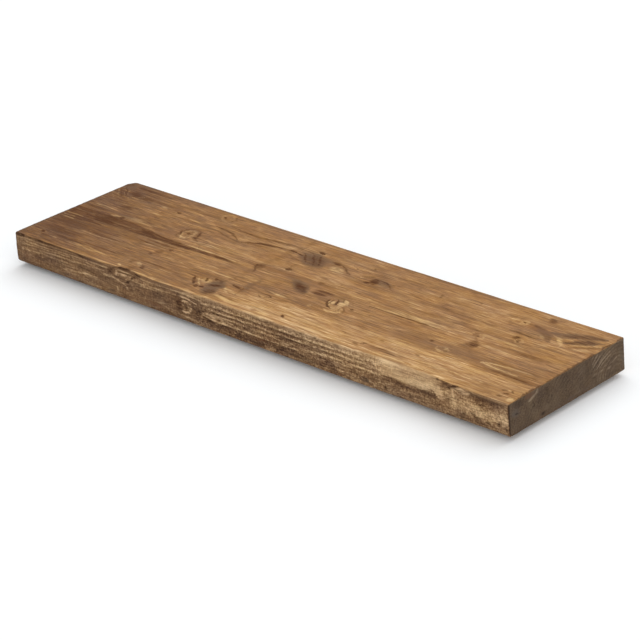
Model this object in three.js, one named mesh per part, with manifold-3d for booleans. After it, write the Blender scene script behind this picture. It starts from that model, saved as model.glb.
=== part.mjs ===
// A floating wall shelf: one thick rustic board that hides three steel supports.
// Each support is a wall plate with a welded rod, held by two countersunk screws in plugs.
// The origin is on the wall plane, at the middle of the board's length and thickness.
// +X runs along the wall, +Y into the wall and +Z up. Lengths are in millimetres.

import * as THREE from 'three';
import { mergeVertices } from 'three/addons/utils/BufferGeometryUtils.js';
import Module from 'manifold-3d';

const wasm = await Module();
wasm.setup();

// Board
const boardLength = 900;
const boardDepth = 220;
const boardThickness = 45;
const cornerRadius = 16; // the back left corner, rounded as seen from above
const backEase = 1.5; // chamfer along both back edges
const endEase = 2; // chamfer round both ends
const stationSpacing = 15; // between the board's cross-sections

// Supports
const endOverhang = 150; // from each end of the board to the middle of its outer support
const supportSpacing = (boardLength - 2 * endOverhang) / 2;
const plateLength = 100;
const plateHeight = 30;
const plateThickness = 3;
const plateCornerRadius = 5;
const rodDiameter = 12;
const rodReach = 150; // from the plate's front face to the rod's tip
const rodTipChamfer = 1.2;
const spigotDiameter = 8; // the rod's root, which passes through the plate
const weldLeg = 2;

// Wall screws
const screwEndDistance = 15; // from each end of the plate to the middle of its screw
const screwSpacing = plateLength - 2 * screwEndDistance;
const screwDiameter = 4;
const screwLength = 35;
const screwTipLength = 5;
const screwHeadDiameter = 8;
const screwHeadRim = 0.4;
const screwHeadSink = 0.2; // below the plate's front face
const recessSpan = 4.6;
const recessWidth = 1.1;
const recessDepth = 1.6;

// Wall plugs
const plugLength = 30;
const plugWall = 0.8;
const plugBarbDepth = 0.25;
const plugBarbPitch = 5;
const plugCollarLength = 5;
const plugSlitWidth = 1;
const plugSlitLength = 21;

// Clearances
const fitGap = 0.3; // between pieces that touch or slide
const boreSpare = 4; // the bore runs on past the rod's tip
const cutOverrun = 2; // a cutting tool runs on past the face it opens

// How finely curves are divided
const roundSegments = 24;
const plugSegments = 12;
const edgeSteps = 6;
const faceSteps = 6;
const roundingSteps = 3;
const cornerSteps = 5;

// Worn top front edge: place as a share of the length, then how far the wear runs back over
// the top and how far it drops down the front, as shares of the thickness
const topEdgeShares = [
  [-0.5, 0.07, 0.08],
  [-0.3, 0.055, 0.065],
  [-0.27, 0.09, 0.12],
  [-0.215, 0.09, 0.12],
  [-0.18, 0.055, 0.07],
  [0.13, 0.055, 0.07],
  [0.21, 0.09, 0.18],
  [0.262, 0.2, 0.4],
  [0.32, 0.25, 0.52],
  [0.36, 0.19, 0.42],
  [0.39, 0.09, 0.15],
  [0.44, 0.065, 0.09],
  [0.5, 0.08, 0.11],
];

// Bottom front edge: place as a share of the length, rounding as a share of the thickness
const footEdgeShares = [
  [-0.5, 0.085],
  [-0.1, 0.05],
  [0.2, 0.06],
  [0.38, 0.09],
  [0.5, 0.11],
];

// Chips and hollows in the front face: place and half length as shares of the length, then
// height, half height and depth as shares of the thickness
const hollowShares = [
  [-0.243, 0.038, 0.36, 0.2, 0.08],
  [-0.105, 0.016, -0.1, 0.2, 0.03],
  [0.32, 0.06, -0.23, 0.17, 0.035],
  [0.435, 0.065, 0.27, 0.16, 0.075],
];

const supportPlaces = [
  ['left', -supportSpacing],
  ['centre', 0],
  ['right', supportSpacing],
];

const pineMaterial = new THREE.MeshStandardMaterial({ color: '#9a7448', roughness: 0.62, metalness: 0 });
const plateMaterial = new THREE.MeshStandardMaterial({ color: '#b9bcc0', roughness: 0.38, metalness: 1 });
const rodMaterial = new THREE.MeshStandardMaterial({ color: '#8d9095', roughness: 0.32, metalness: 1 });
const screwMaterial = new THREE.MeshStandardMaterial({ color: '#c9c6b8', roughness: 0.3, metalness: 1 });
const plugMaterial = new THREE.MeshStandardMaterial({ color: '#8c9094', roughness: 0.55, metalness: 0 });

// Drops the triangles that a lathe or a merge leaves without area
function withoutSlivers(index) {
  const kept = [];
  for (let i = 0; i < index.length; i += 3) {
    const [a, b, c] = [index[i], index[i + 1], index[i + 2]];
    if (a !== b && b !== c && c !== a) kept.push(a, b, c);
  }
  return new Uint32Array(kept);
}

function solidOf(geometry) {
  const bare = geometry.clone();
  bare.deleteAttribute('normal');
  bare.deleteAttribute('uv');
  const merged = mergeVertices(bare);
  const vertProperties = new Float32Array(merged.attributes.position.array);
  const triVerts = withoutSlivers(merged.index.array);
  return new wasm.Manifold(new wasm.Mesh({ numProp: 3, vertProperties, triVerts }));
}

function geometryOf(solid) {
  const mesh = solid.getMesh();
  const geometry = new THREE.BufferGeometry();
  geometry.setAttribute('position', new THREE.BufferAttribute(mesh.vertProperties, 3));
  geometry.setIndex(new THREE.BufferAttribute(mesh.triVerts, 1));
  geometry.computeVertexNormals();
  return geometry;
}

function cutAway(geometry, tools) {
  let solid = solidOf(geometry);
  for (const tool of tools) solid = solid.subtract(solidOf(tool));
  return geometryOf(solid);
}

// A turned piece on the Y axis. Its profile lists [radius, y] from the highest y down.
function turned(profile, segments = roundSegments) {
  const rising = profile.map(([radius, y]) => new THREE.Vector2(radius, y)).reverse();
  return new THREE.LatheGeometry(rising, segments);
}

function roundedRectangle(width, height, radius) {
  const x = width / 2;
  const y = height / 2;
  const shape = new THREE.Shape();
  shape.moveTo(radius - x, -y);
  shape.lineTo(x - radius, -y);
  shape.absarc(x - radius, radius - y, radius, -Math.PI / 2, 0, false);
  shape.lineTo(x, y - radius);
  shape.absarc(x - radius, y - radius, radius, 0, Math.PI / 2, false);
  shape.lineTo(radius - x, y);
  shape.absarc(radius - x, y - radius, radius, Math.PI / 2, Math.PI, false);
  shape.lineTo(-x, radius - y);
  shape.absarc(radius - x, radius - y, radius, Math.PI, Math.PI * 1.5, false);
  return shape;
}

// A flat outline in X and Z, thickened from the plane y = start towards the board's front
function panel(shape, thickness, start = 0) {
  const geometry = new THREE.ExtrudeGeometry(shape, {
    depth: thickness,
    bevelEnabled: false,
    curveSegments: roundSegments / 4,
  });
  geometry.rotateX(Math.PI / 2);
  geometry.translate(0, start, 0);
  return geometry;
}

// Reads a column of a share table at a place, easing from one row to the next
function shareAt(rows, place, column) {
  const last = rows.length - 1;
  if (place <= rows[0][0]) return rows[0][column];
  if (place >= rows[last][0]) return rows[last][column];
  const next = rows.findIndex((row) => row[0] >= place);
  const [before, after] = [rows[next - 1], rows[next]];
  const step = THREE.MathUtils.smoothstep(place, before[0], after[0]);
  return THREE.MathUtils.lerp(before[column], after[column], step);
}

// How deep the front face is chipped at a point
function hollowDepth(x, z) {
  let depth = 0;
  for (const [place, halfLength, height, halfHeight, deep] of hollowShares) {
    const along = (x / boardLength - place) / halfLength;
    const up = (z / boardThickness - height) / halfHeight;
    const edge = Math.max(0, 1 - along * along - up * up);
    depth += deep * boardThickness * edge * Math.min(1, 2 * edge);
  }
  return depth;
}

// How far the rounded back left corner lies in front of the back face
function cornerSetback(x) {
  const fromEnd = x + boardLength / 2;
  if (fromEnd >= cornerRadius) return 0;
  return cornerRadius - Math.sqrt(cornerRadius ** 2 - (cornerRadius - fromEnd) ** 2);
}

function boardSection(x) {
  const place = x / boardLength;
  const inset = Math.max(0, endEase - (boardLength / 2 - Math.abs(x)));
  const top = boardThickness / 2 - inset;
  const front = inset - boardDepth;
  const back = -inset - cornerSetback(x);
  const run = boardThickness * shareAt(topEdgeShares, place, 1);
  const drop = boardThickness * shareAt(topEdgeShares, place, 2);
  const foot = boardThickness * shareAt(footEdgeShares, place, 1);
  const frontPoints = [];
  for (let i = 0; i <= edgeSteps; i += 1) {
    const angle = ((i / edgeSteps) * Math.PI) / 2;
    frontPoints.push([front + run * (1 - Math.sin(angle)), top - drop * (1 - Math.cos(angle))]);
  }
  for (let i = 1; i < faceSteps; i += 1) {
    frontPoints.push([front, THREE.MathUtils.lerp(top - drop, foot - top, i / faceSteps)]);
  }
  for (let i = 0; i <= roundingSteps; i += 1) {
    const angle = ((i / roundingSteps) * Math.PI) / 2;
    frontPoints.push([front + foot * (1 - Math.cos(angle)), foot - top - foot * Math.sin(angle)]);
  }
  const backPoints = [
    [back - backEase, -top],
    [back, backEase - top],
    [back, top - backEase],
    [back - backEase, top],
  ];
  const worn = frontPoints.map(([y, z]) => [y + hollowDepth(x, z), z]);
  return [...worn, ...backPoints].map(([y, z]) => new THREE.Vector3(x, y, z));
}

// Places of the cross-sections: evenly along the board, and closer at its ends
function stationPlaces() {
  const end = boardLength / 2;
  const count = Math.ceil((boardLength - 2 * cornerRadius) / stationSpacing);
  const places = [-end, endEase - end, end - endEase, end];
  for (let i = 0; i <= count; i += 1) {
    places.push(THREE.MathUtils.lerp(cornerRadius - end, end - cornerRadius, i / count));
  }
  for (let i = 2; i < cornerSteps; i += 1) {
    places.push(cornerRadius * (1 - Math.cos(((i / cornerSteps) * Math.PI) / 2)) - end);
  }
  return places.sort((a, b) => a - b);
}

// Joins a row of equal rings, closing both ends with a fan round the section's middle
function loft(rings) {
  const size = rings[0].length;
  const points = rings.flat();
  const index = [];
  for (let i = 0; i < rings.length - 1; i += 1) {
    for (let j = 0; j < size; j += 1) {
      const a = i * size + j;
      const b = i * size + ((j + 1) % size);
      index.push(a, b, a + size, b, b + size, a + size);
    }
  }
  const ends = [0, rings.length - 1];
  ends.forEach((ring, side) => {
    const middle = points.length;
    points.push(new THREE.Vector3(rings[ring][0].x, -boardDepth / 2, 0));
    for (let j = 0; j < size; j += 1) {
      const a = ring * size + j;
      const b = ring * size + ((j + 1) % size);
      if (side === 0) index.push(middle, b, a);
      else index.push(middle, a, b);
    }
  });
  const geometry = new THREE.BufferGeometry().setFromPoints(points);
  geometry.setIndex(index);
  return geometry;
}

// The room that one support needs in the board: its plate's pocket and its rod's bore
function supportRoom(x) {
  const floor = -plateThickness - fitGap;
  const boreRadius = rodDiameter / 2 + fitGap;
  const mouthRadius = boreRadius + weldLeg + fitGap;
  const pocketShape = roundedRectangle(
    plateLength + 2 * fitGap,
    plateHeight + 2 * fitGap,
    plateCornerRadius + fitGap,
  );
  const pocket = panel(pocketShape, cutOverrun - floor, cutOverrun);
  const bore = turned([
    [0, cutOverrun],
    [mouthRadius, cutOverrun],
    [mouthRadius, floor],
    [boreRadius, floor - (mouthRadius - boreRadius)],
    [boreRadius, -plateThickness - rodReach - boreSpare],
    [0, -plateThickness - rodReach - boreSpare - boreRadius / 2],
  ]);
  return [pocket.translate(x, 0, 0), bore.translate(x, 0, 0)];
}

function shelfBoard() {
  const body = loft(stationPlaces().map(boardSection));
  const rooms = supportPlaces.flatMap(([, x]) => supportRoom(x));
  return cutAway(body, rooms);
}

function supportPlate() {
  const front = -plateThickness;
  const holeRadius = screwDiameter / 2 + fitGap;
  const coneRadius = screwHeadDiameter / 2 + fitGap + screwHeadRim + screwHeadSink;
  const screwHole = [
    [0, cutOverrun],
    [holeRadius, cutOverrun],
    [holeRadius, front + (coneRadius - holeRadius)],
    [coneRadius, front],
    [coneRadius, front - cutOverrun],
    [0, front - cutOverrun],
  ];
  const spigotHole = [
    [0, cutOverrun],
    [spigotDiameter / 2 + fitGap, cutOverrun],
    [spigotDiameter / 2 + fitGap, front - cutOverrun],
    [0, front - cutOverrun],
  ];
  return cutAway(panel(roundedRectangle(plateLength, plateHeight, plateCornerRadius), plateThickness), [
    turned(spigotHole),
    turned(screwHole).translate(-screwSpacing / 2, 0, 0),
    turned(screwHole).translate(screwSpacing / 2, 0, 0),
  ]);
}

// The rod's root passes through the plate and ends flush with the wall plane
function supportRod() {
  const rodRadius = rodDiameter / 2;
  const seat = -plateThickness - fitGap;
  const tip = -plateThickness - rodReach;
  const weld = [];
  for (let i = 0; i <= roundingSteps; i += 1) {
    const angle = ((i / roundingSteps) * Math.PI) / 2;
    weld.push([rodRadius + weldLeg * (1 - Math.sin(angle)), seat - weldLeg * (1 - Math.cos(angle))]);
  }
  return turned([
    [0, 0],
    [spigotDiameter / 2, 0],
    [spigotDiameter / 2, seat],
    ...weld,
    [rodRadius, tip + rodTipChamfer],
    [rodRadius - rodTipChamfer, tip],
    [0, tip],
  ]);
}

function wallScrew() {
  const radius = screwDiameter / 2;
  const headRadius = screwHeadDiameter / 2;
  const headTop = screwHeadSink - plateThickness;
  const point = headTop + screwLength;
  const body = turned([
    [0, point],
    [radius, point - screwTipLength],
    [radius, headTop + screwHeadRim + headRadius - radius],
    [headRadius, headTop + screwHeadRim],
    [headRadius, headTop],
    [0, headTop],
  ]);
  const slot = new THREE.BoxGeometry(recessSpan, 2 * recessDepth, recessWidth);
  const crossSlot = slot.clone().rotateY(Math.PI / 2);
  return cutAway(body, [slot.translate(0, headTop, 0), crossSlot.translate(0, headTop, 0)]);
}

// A barbed sleeve, split lengthwise from its far end so that the screw can spread it
function wallPlug() {
  const bore = screwDiameter / 2 + fitGap;
  const outside = bore + plugWall;
  const mouth = fitGap;
  const end = mouth + plugLength;
  const barbs = [];
  const barbCount = Math.floor((plugLength - plugCollarLength) / plugBarbPitch);
  for (let i = 0; i < barbCount; i += 1) {
    const y = mouth + plugCollarLength + i * plugBarbPitch;
    barbs.push([outside, y], [outside - plugBarbDepth, y]);
  }
  const outline = [[outside, mouth], ...barbs, [outside - plugBarbDepth, end]];
  const profile = [[bore, mouth], [bore, end], ...outline.reverse(), [bore, mouth]];
  const slit = new THREE.BoxGeometry(plugSlitWidth, plugSlitLength + cutOverrun, 2 * outside + cutOverrun);
  slit.translate(0, end + cutOverrun / 2 - plugSlitLength / 2, 0);
  return cutAway(turned(profile, plugSegments), [slit]);
}

function named(name, geometry, material, x = 0) {
  const mesh = new THREE.Mesh(geometry, material);
  mesh.name = name;
  mesh.position.x = x;
  return mesh;
}

const shelf = new THREE.Group();
shelf.add(named('shelf_board', shelfBoard(), pineMaterial));
for (const [side, x] of supportPlaces) {
  shelf.add(named(`support_plate_${side}`, supportPlate(), plateMaterial, x));
  shelf.add(named(`support_rod_${side}`, supportRod(), rodMaterial, x));
  for (const [place, offset] of [['a', -screwSpacing / 2], ['b', screwSpacing / 2]]) {
    shelf.add(named(`wall_screw_${side}_${place}`, wallScrew(), screwMaterial, x + offset));
    shelf.add(named(`wall_plug_${side}_${place}`, wallPlug(), plugMaterial, x + offset));
  }
}

export default shelf;
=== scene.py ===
# Looks of a floating wall shelf: one rustic pine board that hides three steel supports.
# Tables and numbers are in millimetres in the CAD frame: x along the wall, y into it, z up.
# They become metres where a mesh is made.
import math
from types import SimpleNamespace

import bmesh
import bpy
import numpy as np
from mathutils import Matrix, Vector


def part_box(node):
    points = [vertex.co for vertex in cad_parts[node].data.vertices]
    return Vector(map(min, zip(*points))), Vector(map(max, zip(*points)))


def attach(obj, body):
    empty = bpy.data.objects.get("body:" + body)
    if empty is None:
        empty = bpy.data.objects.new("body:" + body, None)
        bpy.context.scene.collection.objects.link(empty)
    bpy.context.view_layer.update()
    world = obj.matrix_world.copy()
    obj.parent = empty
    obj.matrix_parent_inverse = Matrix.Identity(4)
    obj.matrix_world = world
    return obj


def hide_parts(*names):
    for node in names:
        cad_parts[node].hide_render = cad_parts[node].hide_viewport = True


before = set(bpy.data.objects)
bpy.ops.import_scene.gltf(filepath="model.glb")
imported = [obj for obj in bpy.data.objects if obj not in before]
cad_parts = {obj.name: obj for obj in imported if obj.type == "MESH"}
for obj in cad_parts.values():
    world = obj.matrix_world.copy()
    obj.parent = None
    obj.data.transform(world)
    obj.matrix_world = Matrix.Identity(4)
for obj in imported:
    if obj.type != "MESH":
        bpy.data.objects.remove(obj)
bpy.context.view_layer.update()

MM = 0.001
SIDES = ("left", "centre", "right")


def box_mm(node):
    """Low and high corner of a node in the frame."""
    low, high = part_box(node)
    return np.array(low) / MM, np.array(high) / MM


BOARD_LOW, BOARD_HIGH = box_mm("shelf_board")
LENGTH, DEPTH, THICKNESS = BOARD_HIGH - BOARD_LOW
HALF_LENGTH = LENGTH / 2
HALF_THICKNESS = THICKNESS / 2
FRONT = -DEPTH

# Camera, fitted to the outlines of the board in the photograph
CAMERA_AZIMUTH = 46.08
CAMERA_ELEVATION = 25.29
CAMERA_ROLL = -4.9
CAMERA_DISTANCE = 3486.5
CAMERA_RIGHT = 25.2
CAMERA_UP = -31.0
FOCAL_PIXELS = 2661.6
PICTURE_PIXELS = 640
SENSOR_WIDTH = 36.0

# Board: the solid's share tables and eases, and the rounder back left corner of the photograph
CORNER_RADIUS = 18.0
BACK_EASE = 1.5
END_EASE = 2.0
TOP_EDGE_SHARES = (
    (-0.5, 0.07, 0.08), (-0.3, 0.055, 0.065), (-0.27, 0.09, 0.12), (-0.215, 0.09, 0.12),
    (-0.18, 0.055, 0.07), (0.13, 0.055, 0.07), (0.21, 0.09, 0.18), (0.262, 0.2, 0.4), (0.32, 0.25, 0.52),
    (0.36, 0.19, 0.42), (0.39, 0.09, 0.15), (0.44, 0.065, 0.09), (0.5, 0.08, 0.11),
)
FOOT_EDGE_SHARES = ((-0.5, 0.085), (-0.1, 0.05), (0.2, 0.06), (0.38, 0.09), (0.5, 0.11))
HOLLOW_SHARES = (
    (-0.243, 0.038, 0.36, 0.2, 0.08), (-0.105, 0.016, -0.1, 0.2, 0.03), (0.32, 0.06, -0.23, 0.17, 0.035),
    (0.435, 0.065, 0.27, 0.16, 0.075),
)

# How finely the board is divided
STATION_STEP = 2.4
CORNER_STEP = 1.6
END_STEPS = 4
TOP_STEPS = 136
EDGE_STEPS = 9
FACE_STEPS = 34
FOOT_STEPS = 5
BOTTOM_STEPS = 30
EASE_STEPS = 3
BACK_STEPS = 12
CAP_RINGS = 12
CAP_SHARE = 0.94
SPINE_POINTS = 110
SKIN = 0.02
SHARP_ANGLE = 50

# How far the left end is out of square over the depth, and how far its top leans in
LEFT_END_SKEW = 4.0
LEFT_END_LEAN = 1.6
LEFT_END_START = -430.0

# Raw wood shows in the pockets and bores alone, which lie inside these distances
RAW_START = 0.7
RAW_REACH = 170.0
RAW_HALF_HEIGHT = 20.0
RAW_END_GAP = 20.0
FRONT_FACE_DEPTH = 40.0

# Growth rings: the pith runs along the board, low in its back, and far lower in front of a joint
PITH_Y = -22.0
PITH_Z = -22.0
FRONT_PITH_Y = -48.0
FRONT_PITH_Z = -85.0
JOINT_Y = -65.0
RING_PITCH = 5.2

# Marks on the top, as x and y, under the kind of each. A spot has its strength, x, y, half length and
# half width, and an angle where it is turned.
TOP_SPOTS = {
    "grey": (
        # On this line and the next, the patch at -434, -12 is wear with a painted sheen on the rounded back
        # left corner, and the lines at x -445 and -446 are wear with painted shade on the rounded left end
        (0.8, -434, -12, 18, 9, -35), (0.35, -380, -93, 55, 4), (0.9, -445, -70, 4, 70),
        (0.9, -446, -170, 4, 60), (0.7, 449.5, -110, 2.6, 150), (0.85, -32, -51, 30, 17, -22),
        (0.45, -8, -42, 16, 5, -8), (0.6, 96, -54, 22, 8, -10), (1.0, 14, -123, 23, 10, -30),
        (0.85, -82, -188, 14, 24, 8), (0.4, 304, -128, 8, 4, 25), (0.25, 286, -106, 24, 4),
        (0.35, -240, -135, 30, 1.6), (0.3, -245, -140, 26, 1.4), (0.22, 319, -148, 40, 14),
    ),
    "dark": (
        (0.3, -440, -10, 10, 8, -35), (0.45, -402, -32, 13, 7, -25), (0.35, -398, -12, 22, 3.5),
        # The last row on this line is wear with painted shade on the rounded left end
        (0.4, -420, -43, 4, 3), (0.35, -380, -80, 12, 2.4), (0.35, -446, -100, 3, 120),
        (0.3, 450, -110, 2.4, 160), (0.75, -235, -86, 4, 2.6, -20), (0.28, -26, -52, 20, 13, -30),
        (0.7, 5, -42, 9, 4.2, -10), (0.3, 14, -54, 3, 3), (0.8, 84, -56, 10, 6.5, -50),
        (0.8, 76, -63, 7, 3, 12), (0.58, 16, -124, 18, 6.6, -30), (0.6, 54, -117, 15, 3),
        (0.75, 50, -124.5, 12, 2.8), (0.9, -106, -198, 5, 3.2, -30), (0.9, -97, -196, 4.4, 3.2),
        (0.85, -105, -177, 3, 6), (0.8, -95, -169, 5, 2.8, -40), (0.8, -84, -184, 9, 4.4, 25),
        (0.35, -86, -170, 8, 3, -30), (0.4, -76, -202, 9, 9), (0.3, -77, -106, 10, 7, -30),
        (0.4, 350, -15, 6, 6.5, -20), (0.6, 342, -76, 4.4, 4, 30), (0.55, 311, -121, 11, 7.5, -30),
        (0.18, 370, -55, 16, 8, -30), (0.25, 340, -38, 28, 3, -6), (0.25, 400, -164, 40, 2),
        (0.35, -377, -36, 15, 5), (0.22, -343, -34, 40, 4), (0.3, -375, -12, 42, 3),
        (0.2, -273, -24, 120, 5), (0.65, -301, -43, 5, 2.4, -15), (0.7, -234, -18, 4, 2.4, -40),
        (0.4, -378, -72, 15, 6), (0.35, -414, -94, 28, 5), (0.55, -357, -100, 5, 4),
        (0.5, -234, -120, 40, 4), (0.6, -217, -138, 4.5, 3.5, -20), (0.3, -227, -152, 7, 9),
        (0.4, -231, -162, 4, 3), (0.3, -395, -178, 45, 9), (0.35, -365, -193, 34, 4),
        (0.35, -350, -158, 10, 1.8), (0.65, -417, -194, 5, 3, -30), (0.35, -404, -202, 10, 4),
        (0.4, -295, -188, 60, 1.6), (0.4, -201, -184, 26, 1.8), (0.3, -166, -186, 30, 1.6),
        (0.35, -233, -193, 6, 5), (0.5, -208, -199, 7, 4, -35), (0.3, -218, -210, 6, 6),
        (0.2, -144, -97, 40, 2), (1.6, -35, -28.5, 6, 3, -12), (1.6, -39, -91.5, 5.4, 3, -8),
        (0.3, 68, -49, 10, 4, 35), (0.4, 31, -100, 6, 4), (0.65, 118, -135, 3.6, 2),
        (0.4, -56, -170, 11, 3, -10), (1.0, 58, -199.5, 4.6, 1.8, -40), (0.55, 59, -26, 4.5, 1.2, -40),
        (0.35, 54, -88, 4, 1.4, -45), (0.3, 24, -86, 10, 3), (0.28, -40, -79, 3, 9),
        (0.3, -62, -60, 20, 2, -18), (0.3, -130, -61, 26, 1.8, 14), (0.2, 32, -202, 50, 3),
        (0.25, -116, -163, 40, 2), (0.8, 322, -38, 2.4, 2), (0.5, 341, -76, 4, 4.5),
        (0.5, 350, -80, 3, 2.5), (0.6, 244, -26, 3.5, 1.8, -30), (0.25, 186, -39, 3, 6, 20),
        (0.3, 302, -31, 16, 4), (0.6, 302, -101, 2.4, 2), (0.25, 394, -109, 28, 5),
        (0.22, 398, -143, 45, 5), (0.6, 264, -143, 2.6, 3), (0.5, 295, -156, 2.4, 3),
        (0.55, 198, -197, 6, 1.8, 40), (0.3, 190, -204, 10, 3, -20), (0.4, 240, -200, 34, 2.6, -3),
        (0.3, 353, -197, 20, 2), (0.4, 276, -183, 6, 2.4, -20), (0.4, 211, -179, 4, 2),
        (0.16, 262, -212, 40, 1.4), (0.55, 422, -193, 6, 1.8, 30), (0.6, 428, -199, 5, 2.4, 25),
        (0.5, 435, -192, 4, 2, -30), (0.45, 424, -208, 4, 3), (0.2, 340, -86, 60, 2),
        (0.25, 202, -88, 50, 2.5), (0.2, 203, -44, 60, 3), (0.22, 232, -67, 60, 2.4),
    ),
    "light": (
        (0.12, -236, -88, 9, 11), (0.4, 15, -56, 12, 7, -10), (0.25, 101, -59, 9, 5),
        (0.6, 96, -129, 6, 12, 20), (0.6, 83, -134, 4, 6, 20), (0.3, 98, -145, 15, 7),
        (0.4, -104, -180, 10, 8), (0.65, -38, -207, 28, 3.4, -8), (0.36, 393, -54, 15, 4, -50),
        (0.26, 428, -59, 18, 4.5, 14), (0.5, 367, -57, 6, 2.6, -25), (0.55, 286, -157, 5, 2, -20),
        (0.5, 291, -150, 2, 4, 10), (0.65, 441, -208, 5, 6), (0.4, -333, -41, 9, 1.6),
        (0.45, -322, -64, 12, 1.6), (0.3, -409, -85, 25, 1.8), (0.24, -369, -100, 13, 3, 12),
        (0.2, -324, -95, 40, 6), (0.12, -290, -162, 70, 2), (0.12, -325, -198, 60, 5),
        (0.15, -296, -202, 60, 4), (0.35, -218, -194, 9, 4, -35), (0.5, -241, -211, 5, 2.5, -25),
        (0.4, -181, -215, 38, 1.8), (0.25, -184, -100, 40, 3.5), (0.2, -185, -113, 45, 2),
        (0.3, -200, -158, 20, 1.6), (0.3, 27, -62, 10, 3, 20), (0.35, 78, -103, 35, 2),
        (0.4, 63, -156, 3, 3.5, -30), (0.6, 10, -157.5, 15, 2.2), (0.25, -54, -184, 20, 3, -15),
        (0.45, 30, -209, 11, 4), (0.3, 32, -209, 8, 3), (0.2, 72, -174, 60, 4), (0.25, -106, -155, 34, 2.2),
        (0.4, 323, -38, 6, 5), (0.4, 207, -107, 52, 4), (0.3, 236, -104, 18, 3), (0.3, 335, -94, 40, 3),
        (0.3, 299, -173, 120, 5), (0.2, 190, -171, 90, 3),
    ),
    "rust": (
        (1.3, 54, -118, 18, 4.4), (1.2, 50, -125, 14, 3.6), (0.7, 350, -16, 8, 7), (0.3, 342, -76, 8, 7),
        (0.6, 311, -121, 13, 9, -35), (0.35, 356, -44, 30, 8, -12), (0.5, 420, -162, 40, 4),
        (0.3, -256, -99, 14, 9), (0.3, -214, -185, 9, 6), (0.38, -1, -104, 88, 7), (0.2, 65, -151, 26, 9),
        (0.35, 11, -208, 6, 4), (0.25, 80, -11, 9, 5), (0.7, 295, -98, 4, 7, 15), (0.35, 359, -109, 62, 5),
        (0.28, 250, -153, 62, 11), (0.25, 264, -211, 18, 3), (0.4, 407, -192, 22, 3),
        (0.35, 408, -208, 7, 4),
    ),
}

# A halo: strength, x, y, half length, half width and the width of its line
TOP_HALOS = {
    "light": (
        (0.2, -229, -17, 10, 9, 3), (0.27, -235, -87, 9, 12, 3), (0.32, 323, -38, 6, 5.5, 2.2),
        (0.3, 351, -82, 5.5, 4.6, 2.2), (0.25, 304, -101, 7, 6, 2.5), (0.4, 288, -154, 8, 6, 1.8),
    ),
    "dark": ((0.3, -235, -87, 15, 17, 2.6), (0.12, 95, -137, 23, 20, 2.4), (0.1, 352, -83, 10, 8, 2)),
}

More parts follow.
